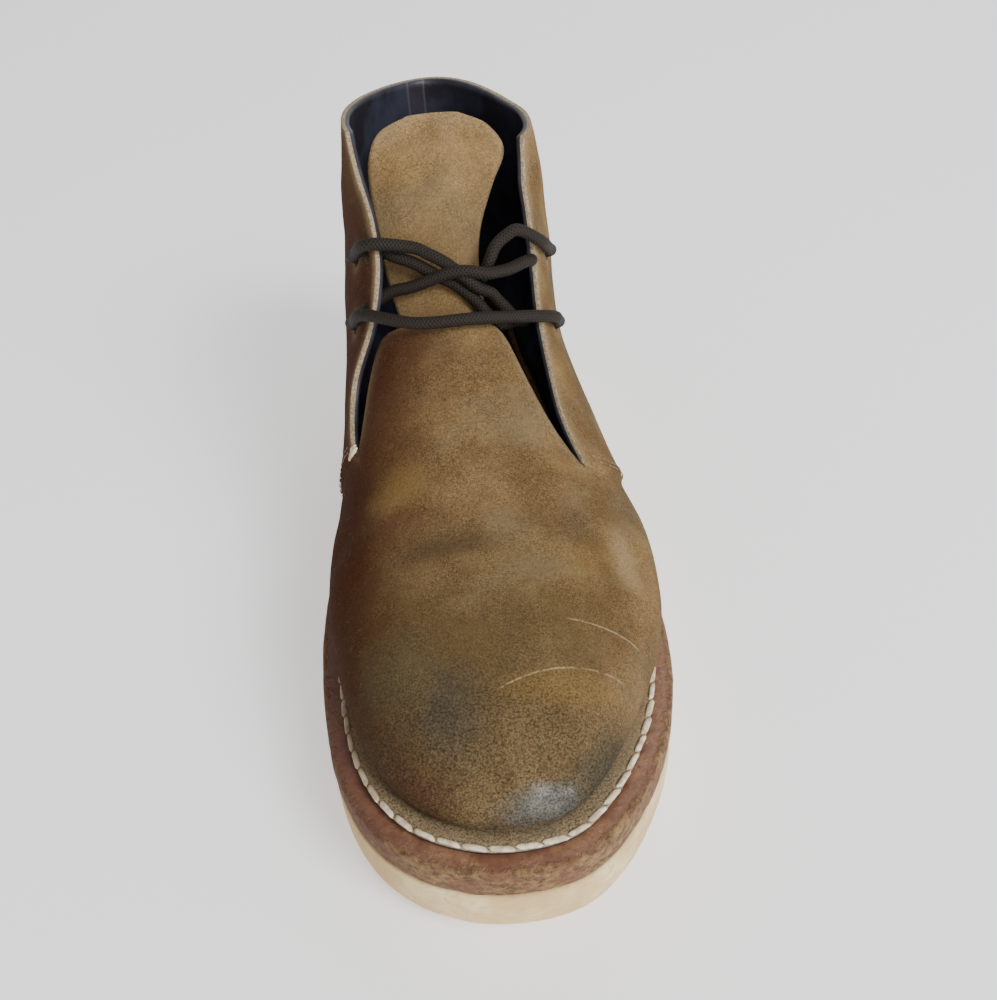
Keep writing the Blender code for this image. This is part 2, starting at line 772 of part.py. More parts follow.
def build_lace(material):
    """The bar and the two crossing strands, joined where they meet."""
    low, high = EYELETS
    bar = lace_end(low[0], -1)[::-1] + lace_middle(LACE_BAR) + lace_end(low[1], 1)
    to_outer = lace_middle(LACE_TO_OUTER) + lace_end(high[1], 1)
    to_inner = lace_middle(LACE_TO_INNER) + lace_end(high[0], -1)
    lace = lace_tube("lace", bar, material)
    for name, path in (("strand_to_outer", to_outer), ("strand_to_inner", to_inner)):
        strand = lace_tube(name, path, material)
        strand.hide_render = True
        strand.display_type = "WIRE"
        join = lace.modifiers.new(name, "BOOLEAN")
        join.operation = "UNION"
        join.solver = "EXACT"
        join.object = strand
    return lace


def main():
    clear_scene()
    suede = make_material("suede", SUEDE, 0.9)
    lining = make_material("lining", LINING, 0.55)
    leather = make_material("brown leather", BROWN_LEATHER, 0.6)
    rubber = make_material("cream rubber", CREAM_RUBBER, 0.7)
    cord = make_material("dark cord", DARK_CORD, 0.6)
    build_outsole(rubber)
    build_heel(rubber)
    build_midsole(leather)
    build_insole(lining)
    build_upper(suede)
    build_tongue(suede)
    build_lace(cord)


main()
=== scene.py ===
"""A left suede chukka boot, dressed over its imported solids.

Metres, +Z up. The toe points to -Y and the heel to +Y. -X is the inner (big toe) side.
"""

import math

import bmesh
import bpy
import numpy as np
from mathutils import Matrix, Vector, kdtree, noise


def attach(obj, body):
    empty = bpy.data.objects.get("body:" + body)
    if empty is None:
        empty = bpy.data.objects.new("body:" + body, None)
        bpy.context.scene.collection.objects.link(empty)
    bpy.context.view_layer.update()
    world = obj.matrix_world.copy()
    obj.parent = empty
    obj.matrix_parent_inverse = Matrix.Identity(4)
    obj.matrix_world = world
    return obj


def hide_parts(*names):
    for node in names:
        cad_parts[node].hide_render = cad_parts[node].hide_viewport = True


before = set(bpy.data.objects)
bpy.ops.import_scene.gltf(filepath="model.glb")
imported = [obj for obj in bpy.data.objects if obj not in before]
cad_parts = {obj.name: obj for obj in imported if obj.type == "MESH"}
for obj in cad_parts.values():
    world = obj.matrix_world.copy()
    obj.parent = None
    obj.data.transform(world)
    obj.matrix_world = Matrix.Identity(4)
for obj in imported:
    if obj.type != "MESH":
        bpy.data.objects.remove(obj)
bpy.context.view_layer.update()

MM = 0.001

# Driving sizes of the solids
LENGTH = 0.304  # outsole, toe to heel
BALL_WIDTH = 0.110  # unit of widths: the outsole at the ball is 0.98 of it
COLLAR_HEIGHT = 0.142  # front of the collar above the ground
TOE_SPRING = 0.0055  # underside of the toe above the ground
HEEL_LIFT = 0.012  # height of the heel block
OUTSOLE_THICKNESS = 0.0157
MIDSOLE_THICKNESS = 0.0107
SOLE_MARGIN = 0.0058  # sole edge beyond the turned-out edge of the upper
FLANGE_WIDTH = 0.006  # turned-out edge of the upper
FLANGE_THICKNESS = 0.002
WALL = 0.0028  # suede with its lining
OVERLAY = 0.0017  # the quarters lie this much above the vamp
TONGUE_THICKNESS = 0.0026
LACE_DIAMETER = 0.0038
LACE_REST = 0.0005  # lace above the facing that it lies on
EYELET_DIAMETER = 0.0054
EYELET_INSET = 0.0145  # middle of an eyelet behind the facing's edge
HEEL_BREAST = 0.715  # front of the heel block, share of LENGTH from the toe
CLEARANCE = 0.0004
SIDE_SHIFT = -0.0018  # brings the middle of the outline to x = 0

EDGE_INSET = SOLE_MARGIN + FLANGE_WIDTH
MIDSOLE_BASE = OUTSOLE_THICKNESS + CLEARANCE
STACK = MIDSOLE_BASE + MIDSOLE_THICKNESS
FEATHER_RISE = STACK + CLEARANCE + FLANGE_THICKNESS

# The feather line, where the wall of the upper meets its turned-out edge, toe to heel.
# station: share of LENGTH. inner, outer: distance from the middle, shares of BALL_WIDTH.
FEATHER = (
    # name, station, inner, outer
    ("toe end", 0.0388, 0.000, 0.000),
    ("toe turn", 0.0447, 0.092, 0.110),
    ("toe corner", 0.0645, 0.193, 0.181),
    ("toe side", 0.1013, 0.274, 0.257),
    ("toe back", 0.1563, 0.329, 0.332),
    ("ball front", 0.2300, 0.357, 0.384),
    ("ball", 0.3130, 0.366, 0.399),
    ("vamp", 0.3980, 0.350, 0.377),
    ("seam", 0.4870, 0.302, 0.350),
    ("instep", 0.5850, 0.262, 0.321),
    ("waist", 0.6840, 0.237, 0.285),
    ("arch back", 0.7760, 0.233, 0.251),
    ("heel front", 0.8610, 0.224, 0.233),
    ("heel side", 0.9194, 0.180, 0.182),
    ("heel corner", 0.9530, 0.092, 0.092),
    ("heel end", 0.9632, 0.000, 0.000),
)
HEEL_ROW = len(FEATHER) - 1

# The back line above the heel end. height: share of COLLAR_HEIGHT above the ground.
# taper: how much narrower than an ellipse the section is at its back.
BACK_LINE = (
    # name, station, height, taper
    ("heel end", 0.9632, 0.292, 0.00),
    ("counter", 0.9790, 0.380, 0.00),
    ("counter top", 0.9810, 0.490, 0.00),
    ("tendon", 0.9700, 0.620, 0.04),
    ("shaft", 0.9570, 0.760, 0.08),
    ("collar", 0.9500, 0.900, 0.12),
)

# Sections of the upper. Each one's plane runs from its ridge to the feather or back line.
# station: ridge, share of LENGTH. height: ridge, share of COLLAR_HEIGHT above the ground.
# inner, outer: widest half-widths, shares of BALL_WIDTH. belly: share of the way down there.
# crown: roundness of each side above the belly, 2 is an ellipse and more is boxier.
SECTIONS = (
    # name, station, height, inner, outer, belly, inner crown, outer crown
    ("toe end", 0.0388, 0.231, 0.000, 0.000, 0.75, 2.10, 2.10),
    ("toe turn", 0.0450, 0.293, 0.100, 0.117, 0.75, 2.10, 2.10),
    ("toe corner", 0.0650, 0.344, 0.208, 0.199, 0.75, 2.15, 2.15),
    ("toe side", 0.1013, 0.392, 0.297, 0.281, 0.76, 2.20, 2.20),
    ("toe back", 0.1563, 0.424, 0.360, 0.366, 0.77, 2.20, 2.15),
    ("ball front", 0.2300, 0.449, 0.411, 0.455, 0.78, 2.10, 2.05),
    ("ball", 0.2960, 0.482, 0.434, 0.489, 0.77, 1.95, 1.95),
    ("vamp", 0.3420, 0.516, 0.427, 0.486, 0.75, 1.85, 1.85),
    ("seam", 0.3750, 0.545, 0.398, 0.445, 0.72, 1.85, 1.80),
    ("instep", 0.4080, 0.596, 0.362, 0.397, 0.69, 2.30, 1.85),
    ("waist", 0.4470, 0.670, 0.349, 0.351, 0.66, 2.20, 1.90),
    ("arch back", 0.4860, 0.750, 0.337, 0.326, 0.63, 2.10, 2.00),
    ("heel front", 0.5260, 0.828, 0.333, 0.325, 0.60, 2.20, 2.20),
    ("heel side", 0.5620, 0.892, 0.320, 0.327, 0.57, 2.40, 2.40),
    ("heel corner", 0.5870, 0.934, 0.3130, 0.3250, 0.545, 2.50, 2.50),
    ("heel end", 0.5980, 0.954, 0.3105, 0.3240, 0.532, 2.55, 2.55),
    ("counter", 0.6030, 0.964, 0.3055, 0.3190, 0.510, 2.65, 2.65),
    ("counter top", 0.6070, 0.974, 0.2980, 0.3130, 0.485, 2.70, 2.70),
    ("tendon", 0.6105, 0.983, 0.2845, 0.3030, 0.460, 2.75, 2.75),
    ("shaft", 0.6140, 0.992, 0.2730, 0.2890, 0.440, 2.80, 2.80),
    ("collar", 0.6180, 1.000, 0.2640, 0.2765, 0.420, 2.85, 2.85),
)
SEAM_ROW = 8
COLLAR_ROW = len(SECTIONS) - 1

# Edges of the facings from the throat corners to the collar, on the sections from the seam on.
# inner, outer: distance from the middle, shares of BALL_WIDTH.
FACINGS = (
    # name, inner, outer
    ("seam", 0.302, 0.302),
    ("instep", 0.322, 0.262),
    ("waist", 0.302, 0.246),
    ("arch back", 0.232, 0.236),
    ("heel front", 0.196, 0.236),
    ("heel side", 0.198, 0.232),
    ("heel corner", 0.212, 0.228),
    ("heel end", 0.220, 0.228),
    ("counter", 0.226, 0.230),
    ("counter top", 0.231, 0.231),
    ("tendon", 0.236, 0.232),
    ("shaft", 0.241, 0.233),
    ("collar", 0.246, 0.235),
)
# Rows of SECTIONS with an eyelet on the inner and outer facing
EYELETS = ((11.15, 10.85), (12.5, 12.4))

# The inner throat corner lies further back than the section's plane and the outer one further
# forward, in rows of SECTIONS.
INNER_SKEW = 0.62
OUTER_SKEW = -0.22
OUTER_COLLAR_DROP = 0.0046  # outer corner of the collar below the section's plane

# The vamp's tab between the facings. section: row of SECTIONS that its cut is based on.
VAMP_TAB = (
    # section, station, height, inner, outer
    (8.00, 0.3750, 0.545, 0.302, 0.302),
    (8.70, 0.4060, 0.577, 0.288, 0.248),
    (9.30, 0.4370, 0.612, 0.270, 0.206),
    (9.85, 0.4670, 0.649, 0.248, 0.168),
    (10.25, 0.4900, 0.678, 0.226, 0.142),
    (10.48, 0.5030, 0.695, 0.200, 0.116),
    (10.60, 0.5085, 0.702, 0.150, 0.060),
)

# The tongue, from under the tab to its rounded top. sag: fall of its edges.
TONGUE = (
    # station, height, inner, outer, sag
    (0.4020, 0.532, 0.148, 0.130, 0.052),
    (0.4450, 0.577, 0.152, 0.132, 0.052),
    (0.4900, 0.627, 0.144, 0.130, 0.052),
    (0.5250, 0.685, 0.152, 0.100, 0.048),
    (0.5650, 0.760, 0.182, 0.084, 0.044),
    (0.6060, 0.830, 0.200, 0.100, 0.048),
    (0.6430, 0.896, 0.210, 0.150, 0.046),
    (0.6680, 0.945, 0.206, 0.194, 0.036),
    (0.6840, 0.980, 0.168, 0.150, 0.018),
    (0.6910, 0.997, 0.080, 0.068, 0.004),
)

# How finely the surfaces are cut
TOE_STEPS = (0.0, 0.25, 0.5, 0.75, 1.0, 1.25, 1.5)
STEP = 0.25
TAB_COLUMNS = 8
WALL_COLUMNS = 22
SECTION_SAMPLES = 60
TONGUE_COLUMNS = 8
TONGUE_STEPS = 6  # to a row of TONGUE
SOLE_STEP = 0.1
SOLE_ENDS = (0.0, 0.1, 0.2, 0.35, 0.5, 0.65, 0.8)
FINE = 8  # places to a row along a smooth line

RAW_SHARE = 0.55  # share of the wall's cut edge that is bare suede, and the rest is lining
RIM_CREASE = 0.55  # how sharp the wall's cut edges stay
RIM_REACH = 1.6 * MM  # how far the pale wear of the cut edges reaches
CUTTER_LENGTH = 0.012  # of the eyelets' cutter
STITCH_PITCH = 6.9 * MM
STITCH_INSET = 0.6 * MM  # middle of the stitches inside the flange's outer edge

# Lace routes between the facings: x (share of BALL_WIDTH), station, height (share of
# COLLAR_HEIGHT). Strands over a facing start at its edge, and the others come from below it.
LACE_ROUTES = {
    "bar": (
        (-0.110, 0.4985, 0.7120), (0.060, 0.4975, 0.7115),
    ),
    "over_inner": (
        (-0.106, 0.5645, 0.816), (-0.058, 0.5574, 0.804), (-0.021, 0.5509, 0.792), (0.013, 0.5439, 0.776),
        (0.044, 0.5380, 0.758), (0.072, 0.5365, 0.738), (0.107, 0.5383, 0.722), (0.128, 0.5372, 0.702),
        (0.154, 0.5345, 0.679), (0.180, 0.5309, 0.650),
    ),
    "under_inner": (
        (-0.240, 0.5830, 0.780), (-0.187, 0.5787, 0.795), (-0.157, 0.5719, 0.792), (-0.097, 0.5612, 0.781),
        (-0.044, 0.5508, 0.762), (0.002, 0.5451, 0.746), (0.036, 0.5393, 0.728), (0.067, 0.5331, 0.708),
        (0.087, 0.5278, 0.690), (0.122, 0.5251, 0.662), (0.146, 0.5320, 0.654), (0.177, 0.5428, 0.644),
        (0.215, 0.5513, 0.630),
    ),
    "under_outer": (
        (-0.260, 0.5530, 0.690), (-0.223, 0.5530, 0.710), (-0.171, 0.5524, 0.731), (-0.118, 0.5479, 0.742),
        (-0.067, 0.5439, 0.757), (-0.010, 0.5400, 0.774), (0.040, 0.5380, 0.778), (0.094, 0.5387, 0.768),
        (0.145, 0.5482, 0.760), (0.175, 0.5560, 0.757), (0.215, 0.5680, 0.756), (0.250, 0.5760, 0.752),
    ),
    "over_outer": (
        (0.202, 0.5756, 0.822), (0.163, 0.5695, 0.817), (0.132, 0.5624, 0.804), (0.114, 0.5554, 0.784),
        (0.096, 0.5521, 0.757), (0.080, 0.5481, 0.738),
    ),
}

# Creases pressed into the vamp: name, half width, depth, places as (x share, station).
CREASES = (
    ("flex", 5 * MM, 0.9 * MM, ((-0.42, 0.250), (-0.20, 0.291), (0.01, 0.287), (0.20, 0.272))),
    ("flex back", 6 * MM, 0.6 * MM, ((-0.10, 0.335), (0.12, 0.322), (0.34, 0.300), (0.46, 0.262))),
    ("ridge", 4 * MM, -0.8 * MM, ((0.34, 0.330), (0.365, 0.305), (0.392, 0.262), (0.400, 0.235))),
    ("inner fold", 5 * MM, 0.7 * MM, ((-0.46, 0.330), (-0.36, 0.345), (-0.24, 0.338))),
)

# Scratches on the toe, as arcs in plan: centre (x, y), radius, and from which x to which x.
SCRATCHES = (
    ((24.9 * MM, -161.6 * MM), 54.2 * MM, -1 * MM, 35 * MM),
    ((13.9 * MM, -182 * MM), 90.1 * MM, 20 * MM, 42 * MM),
)

# Stitches behind the quarters' front edges, and the tack at the inner throat corner as share
# of the section past the corner, distance behind the edge and turn of each stitch
SEAM_STITCH_ROWS = (2.2 * MM, 4.3 * MM)
SEAM_STITCH_PITCH = 3.0 * MM
THROAT_TACK = (
    (-0.016, 0.8 * MM, 0.5),
    (-0.006, 0.2 * MM, 0.3),
    (0.004, 0.9 * MM, 0.6),
    (-0.012, 2.4 * MM, 0.2),
    (0.010, -0.3 * MM, 0.4),
)

# One stitch of each kind: its length, width, height and arch, how far it turns and its ends
# slant, and how much its width and turn vary
FLANGE_STITCH = {
    "long": 0.93 * STITCH_PITCH, "wide": 1.75 * MM, "high": 1.1 * MM, "arch": 0.1 * MM,
    "turn": 0.09, "slant": 0.35 * MM, "uneven": 0.12,
}
SEAM_STITCH = {
    "long": 0.72 * SEAM_STITCH_PITCH, "wide": 0.7 * MM, "high": 0.36 * MM, "arch": 0.05 * MM,
    "turn": 0.0, "slant": 0.0, "uneven": 0.08,
}
TACK_STITCH = {
    "long": 4.2 * MM, "wide": 0.9 * MM, "high": 0.9 * MM, "arch": 0.2 * MM,
    "turn": 0.0, "slant": 0.0, "uneven": 0.2,
}

# Stains, painted shade and a painted highlight of the suede in millimetres: name, middle, reach, softness,
# wobble of the outline and the size of that wobble, strength and colour
STAINS_AND_PAINTED_LIGHT = (
    # The first two rows are painted shade, darker and redder over the whole inner side and the inner
    # quarter.
    ("inner side shade", (-64, 0, 60), (48, 500, 500), 0.45, 0.25, 20, 1.0, (0.057, 0.018, 0.006)),
    ("inner quarter shade", (-54, 10, 98), (56, 70, 60), 0.50, 0.2, 14, 1.0, (0.060, 0.019, 0.008)),
    # The toe's row is a dark olive stain, spread wide enough to paint shade over the lower vamp as well.
    ("toe", (-4, -146, 38), (66, 68, 56), 0.55, 0.40, 12, 0.50, (0.070, 0.056, 0.032)),
    ("front of the vamp", (-5, -92, 60), (52, 38, 30), 0.7, 0.3, 12, 0.32, (0.090, 0.064, 0.026)),
    ("rust", (-26, -134, 38), (17, 20, 16), 0.7, 0.5, 8, 0.75, (0.058, 0.025, 0.014)),
    ("outer brim", (27, -127, 34), (15, 20, 17), 0.7, 0.5, 7, 0.72, (0.030, 0.031, 0.026)),
    ("toe front", (-4, -147, 34), (28, 9, 12), 0.6, 0.5, 8, 0.72, (0.024, 0.021, 0.022)),
    ("blue", (11, -140, 40), (17, 7, 9), 0.6, 0.7, 5, 0.55, (0.072, 0.090, 0.100)),
    # A painted highlight: pale grey on the front of the toe.
    ("painted toe highlight", (10, -137, 42), (9, 4, 6), 0.9, 0.5, 4, 0.60, (0.300, 0.305, 0.300)),
    ("dark patch", (-13, -117, 56), (11, 17, 14), 0.9, 0.6, 6, 0.55, (0.052, 0.050, 0.042)),
    ("moss", (-26, -102, 54), (15, 16, 14), 0.8, 0.6, 7, 0.40, (0.075, 0.070, 0.036)),
    ("ochre", (17, -113, 56), (20, 7, 16), 0.9, 0.5, 7, 0.26, (0.300, 0.175, 0.042)),
    ("smear", (-10, -65, 66), (22, 5, 14), 0.9, 0.6, 6, 0.40, (0.062, 0.044, 0.022)),
    ("yellow", (-24, -42, 74), (13, 11, 14), 0.7, 0.5, 7, 0.35, (0.330, 0.200, 0.060)),
    ("red", (-24, -52, 70), (12, 5, 10), 0.7, 0.5, 6, 0.40, (0.120, 0.050, 0.026)),
    ("brown", (37, -50, 60), (11, 7, 10), 0.8, 0.5, 6, 0.45, (0.130, 0.070, 0.020)),
    ("pale", (41, -66, 56), (5, 14, 10), 0.9, 0.6, 6, 0.35, (0.330, 0.260, 0.170)),
)
# Stains and painted shade that follow an attribute of the mesh: its name, its value where the mark is full
# or
# None to take the attribute as the mask, strength and colour
EDGE_STAINS_AND_SHADE = (
    # Painted shade in the creases of the vamp, and paler suede on its pressed-out ridges.
    ("fold", 1.2, 0.25, (0.070, 0.050, 0.028)),
    ("fold", -0.8, 0.35, (0.360, 0.250, 0.125)),
    ("flange", None, 0.65, (0.340, 0.255, 0.150)),
    # Painted shade along the feather line, where the wall meets the turned-out edge.
    ("painted_feather_shade", None, 0.65, (0.034, 0.024, 0.014)),
    ("rim", None, 0.40, (0.420, 0.310, 0.180)),
)

# Lamps: name, place, size and power in watts
LAMPS = (
    ("key", (1.1, -1.3, 1.5), 0.9, 46.0),
    ("front", (0.3, -1.9, 0.7), 0.8, 12.0),
    ("back", (0.5, 1.6, 1.4), 1.2, 10.0),
)
ROOM_LIGHT = 0.45
FLOOR_GLOW = 0.5

# The camera, as fitted to the photograph: pitch down, turn and roll in degrees
CAMERA_ANGLES = (44.73, 2.64, -4.02)
CAMERA_PLACE = (-0.0055, -0.2912, 0.2571)
CAMERA_SHIFT = (-0.0051, 0.125)
FOCAL_PIXELS = 1039.0
PHOTO_HEIGHT = 1000.0
SENSOR = 36.0


def column(table, index):
    return [row[index] for row in table]


def unit(vector):
    return vector / np.linalg.norm(vector)


def spline(values, u, flat_start=False, flat_end=False):
    """A cubic curve through a table's column, at row u. A flat end has no slope there."""
    last = len(values) - 1
    i = int(min(max(math.floor(u), 0), last - 1))
    t = u - i

    def slope(k):
        if k == 0:
            return 0.0 if flat_start else values[1] - values[0]
        if k == last:
            return 0.0 if flat_end else values[last] - values[last - 1]
        return (values[k + 1] - values[k - 1]) / 2

    return (
        values[i] * (2 * t**3 - 3 * t**2 + 1)
        + slope(i) * (t**3 - 2 * t**2 + t)
        + values[i + 1] * (3 * t**2 - 2 * t**3)
        + slope(i + 1) * (t**3 - t**2)
    )


def side_value(table, first, u, side):
    """A curve through a table's inner column, which is the first, or the outer one after it."""
    return spline(column(table, first if side < 0 else first + 1), u)


def smoothstep(low, high, value):
    t = min(max((value - low) / (high - low), 0.0), 1.0)
    return t * t * (3 - 2 * t)


def y_at(station):
    return (station - 0.5) * LENGTH


def lift(y):
    """Height of the outsole's underside above the ground."""
    station = y / LENGTH + 0.5
    toe = max(1.0 - station / 0.27, 0.0)
    return TOE_SPRING * toe**1.7 + HEEL_LIFT * smoothstep(0.42, 0.72, station)


def feather_point(u, side):
    """A point of the feather line. side is -1 for the inner side and 1 for the outer side."""
    y = y_at(spline(column(FEATHER, 1), u, True, True))
    x = side * side_value(FEATHER, 2, u, side) * BALL_WIDTH
    return np.array([x, y, lift(y) + FEATHER_RISE])


def outward(u, side):
    """Level direction square to the feather line, away from the boot."""
    if u <= 0:
        return np.array([0.0, -1.0, 0.0])
    if u >= HEEL_ROW:
        return np.array([0.0, 1.0, 0.0])
    edge = feather_point(min(u + 0.02, HEEL_ROW), side) - feather_point(max(u - 0.02, 0.0), side)
    direction = np.array([edge[1], -edge[0], 0.0]) * side
    return unit(direction)


def outline_point(u, side, distance, height):
    """The feather line moved outwards by a distance, at a height above the outsole's underside."""
    point = feather_point(u, side) + outward(u, side) * distance
    point[2] = lift(point[1]) + height
    return point


def section_ends(u):
    """The ridge point of a section and the lowest or rearmost point of its plane."""
    ridge_y = y_at(spline(column(SECTIONS, 1), u, True))
    ridge_z = spline(column(SECTIONS, 2), u) * COLLAR_HEIGHT
    if u <= HEEL_ROW:
        foot = feather_point(u, 1)
        foot_y, foot_z = foot[1], foot[2]
    else:
        foot_y = y_at(spline(column(BACK_LINE, 1), u - HEEL_ROW))
        foot_z = spline(column(BACK_LINE, 2), u - HEEL_ROW) * COLLAR_HEIGHT
    return np.array([0.0, ridge_y, ridge_z]), np.array([0.0, foot_y, foot_z])


def section_curve(u, side, ridge=None):
    """Points of one side of a section, from the ridge to the feather or the back line."""
    own_ridge, foot = section_ends(u)
    ridge = own_ridge if ridge is None else np.array(ridge)
    width = side_value(SECTIONS, 3, u, side) * BALL_WIDTH
    belly = spline(column(SECTIONS, 5), u)
    crown = side_value(SECTIONS, 6, u, side)
    reach = abs(feather_point(u, side)[0]) if u < HEEL_ROW else 0.0
    width = max(width, reach * 1.01, 1e-6)
    taper = spline(column(BACK_LINE, 3), max(u - HEEL_ROW, 0.0))
    turn = math.acos(min(reach / width, 1.0))
    points = []
    for i in range(SECTION_SAMPLES + 1):
        angle = (math.pi / 2 + turn) * i / SECTION_SAMPLES
        if angle <= math.pi / 2:
            x = width * math.sin(angle) ** (2 / crown)
            down = belly * (1 - max(math.cos(angle), 0.0) ** (2 / crown))
        else:
            beyond = angle - math.pi / 2
            x = width * math.cos(beyond) * (1 - taper * math.sin(beyond) ** 2)
            down = belly + (1 - belly) * math.sin(beyond) / math.sin(turn)
        point = ridge + (foot - ridge) * down
        point[0] = side * x
        points.append(point)
    return np.array(points)


def cumulative(curve):
    steps = np.linalg.norm(np.diff(curve, axis=0), axis=1)
    return np.concatenate([[0.0], np.cumsum(steps)])


def points_at(line, length, where):
    """Points of a line at distances along it."""
    return np.stack([np.interp(where, length, line[:, axis]) for axis in range(3)], axis=-1)


def at_share(curve, share):
    """The point of a curve at a share of its length."""
    length = cumulative(curve)
    return points_at(curve, length, share * length[-1])


def share_at_width(curve, x):
    """The share of a section's length at which it is first this far from the middle."""
    length = cumulative(curve)
    reach = np.abs(curve[:, 0])
    widest = int(np.argmax(reach)) + 1
    return float(np.interp(x, reach[:widest], length[:widest]) / length[-1])


def tab_ridge(u):
    """Ridge of the vamp's tab above section u."""
    rows = column(VAMP_TAB, 0)
    row = float(np.interp(u, rows, range(len(rows))))
    height = spline(column(VAMP_TAB, 2), row) * COLLAR_HEIGHT
    return np.array([0.0, y_at(spline(column(VAMP_TAB, 1), row)), height])


def facing_share(u, side):
    """Where the facing's edge is on the section, as a share of its length."""
    edge = side_value(FACINGS, 1, u - SEAM_ROW, side) * BALL_WIDTH
    return share_at_width(section_curve(u, side), edge)


def wall_point(u, side, share, ridge=None):
    """A point of the wall's outer face at a share of a section, and the direction square to it."""
    point = at_share(section_curve(u, side, ridge), share)
    at = max(u, 0.15)
    low = at_share(section_curve(at - 0.1, side), share)
    high = at_share(section_curve(min(at + 0.1, COLLAR_ROW), side), share)
    here = section_curve(at, side)
    across = at_share(here, min(share + 0.01, 1.0)) - at_share(here, max(share - 0.01, 0.0))
    normal = np.cross(across, high - low) * side
    if share <= 0 or (share >= 1 and u >= HEEL_ROW):
        normal[0] = 0.0
    return point, unit(normal)


class Sheet:
    """A sheet with two faces, filled in as quads between named places and closed at its edges.

    Its faces use three materials: 0 outside, 1 on the cut edge and 2 inside.
    """

    def __init__(self):
        self.places = {}
        self.outer = []
        self.inner = []
        self.quads = []

    def place(self, name, outer, inner):
        if name not in self.places:
            self.places[name] = len(self.outer)
            self.outer.append(outer)
            self.inner.append(inner)

    def quad(self, *names):
        corners = list(dict.fromkeys(self.places[name] for name in names))
        if len(corners) > 2:
            self.quads.append(corners)

    def mesh(self, name, creased=()):
        """The closed mesh. creased lists pairs of places whose edge stays sharp outside."""
        count = len(self.outer)
        outer, inner = np.array(self.outer), np.array(self.inner)
        faces, finish, used = [], [], set()
        for corners in self.quads:
            faces += [corners, [count + corner for corner in reversed(corners)]]
            finish += [0, 2]
            used.update(zip(corners, corners[1:] + corners[:1]))
        rim = [(a, b) for a, b in used if (b, a) not in used]
        on_rim = sorted({a for edge in rim for a in edge})
        middle = {a: 2 * count + i for i, a in enumerate(on_rim)}
        for a, b in rim:
            faces.append([b, a, middle[a], middle[b]])
            faces.append([middle[b], middle[a], count + a, count + b])
            finish += [1, 2]
        between = outer[on_rim] + (inner[on_rim] - outer[on_rim]) * RAW_SHARE
        mesh = bpy.data.meshes.new(name)
        mesh.from_pydata(np.vstack([outer, inner, between]).tolist(), [], faces)
        mesh.polygons.foreach_set("material_index", finish)
        sharp = {tuple(sorted(edge)) for edge in rim}
        sharp |= {(min(a, b) + count, max(a, b) + count) for a, b in rim}
        sharp |= {tuple(sorted((self.places[a], self.places[b]))) for a, b in creased}
        crease = mesh.attributes.new("crease_edge", "FLOAT", "EDGE")
        for edge in mesh.edges:
            if tuple(sorted(edge.vertices)) in sharp:
                crease.data[edge.index].value = RIM_CREASE
        return mesh


def ring_rows():
    """Section rows of the vamp and of the quarters."""
    vamp = list(TOE_STEPS)
    while vamp[-1] < SEAM_ROW:
        vamp.append(vamp[-1] + STEP)
    quarters = [SEAM_ROW + 0.03, SEAM_ROW + STEP]
    while quarters[-1] < COLLAR_ROW:
        quarters.append(quarters[-1] + STEP)
    return vamp, quarters


def side_name(u, side):
    """The two sides share their places of the feather and flange at the toe end and heel end."""
    return 0 if u in (0, HEEL_ROW) else side


def place_flange(sheet, u, ring, side):
    """The feather point and the two places of the turned-out edge."""
    if u > HEEL_ROW:
        return
    name_side = side_name(u, side)
    base = STACK + CLEARANCE
    feather = outline_point(u, side, 0.0, FEATHER_RISE)
    inside = outline_point(u, side, -WALL, base)
    sheet.place(("feather", ring, name_side), feather, inside)
    over = outline_point(u, side, FLANGE_WIDTH, FEATHER_RISE)
    under = outline_point(u, side, FLANGE_WIDTH, base)
    sheet.place(("flange", ring, name_side), over, under)


def wall_name(u, ring, side, index):
    """Name of a wall place: the toe end is one point, and the sides meet at the ridge and back."""
    if u == 0:
        return ("feather", ring, 0)
    if index == TAB_COLUMNS + WALL_COLUMNS:
        if u <= HEEL_ROW:
            return ("feather", ring, side_name(u, side))
        return ("back", ring)
    if index == 0:
        return ("ridge", ring)
    return ("wall", ring, side, index)


def wall_share(start, index):
    """Shares of a section below the throat, closer together at the feather and the heel."""
    even = index / WALL_COLUMNS
    return start + (1 - start) * (even + 0.12 * math.sin(math.pi * even))


def skewed(u, side, share, split):
    """Section row of a place: near the throat, places lie ahead of or behind their own ring."""
    near = smoothstep(SEAM_ROW - 4.5, SEAM_ROW, u) * (1 - smoothstep(SEAM_ROW, SEAM_ROW + 3.5, u))
    across = smoothstep(0.0, split, share) * (1 - smoothstep(split, 1.0, share))
    return u + (INNER_SKEW if side < 0 else OUTER_SKEW) * near * across


def throat_corner(side):
    """Where the throat's corner is on the seam's section, as a share of its length."""
    return facing_share(skewed(SEAM_ROW, side, 0.5, 0.5), side)


def collar_drop(u, side, share, edge):
    """The outer front corner of the collar is lower."""
    if side < 0:
        return np.zeros(3)
    fade = smoothstep(SEAM_ROW + 4, COLLAR_ROW, u) * (1 - smoothstep(0.5 + edge / 2, 1.0, share))
    return np.array([0.0, 0.0, -OUTER_COLLAR_DROP * fade])


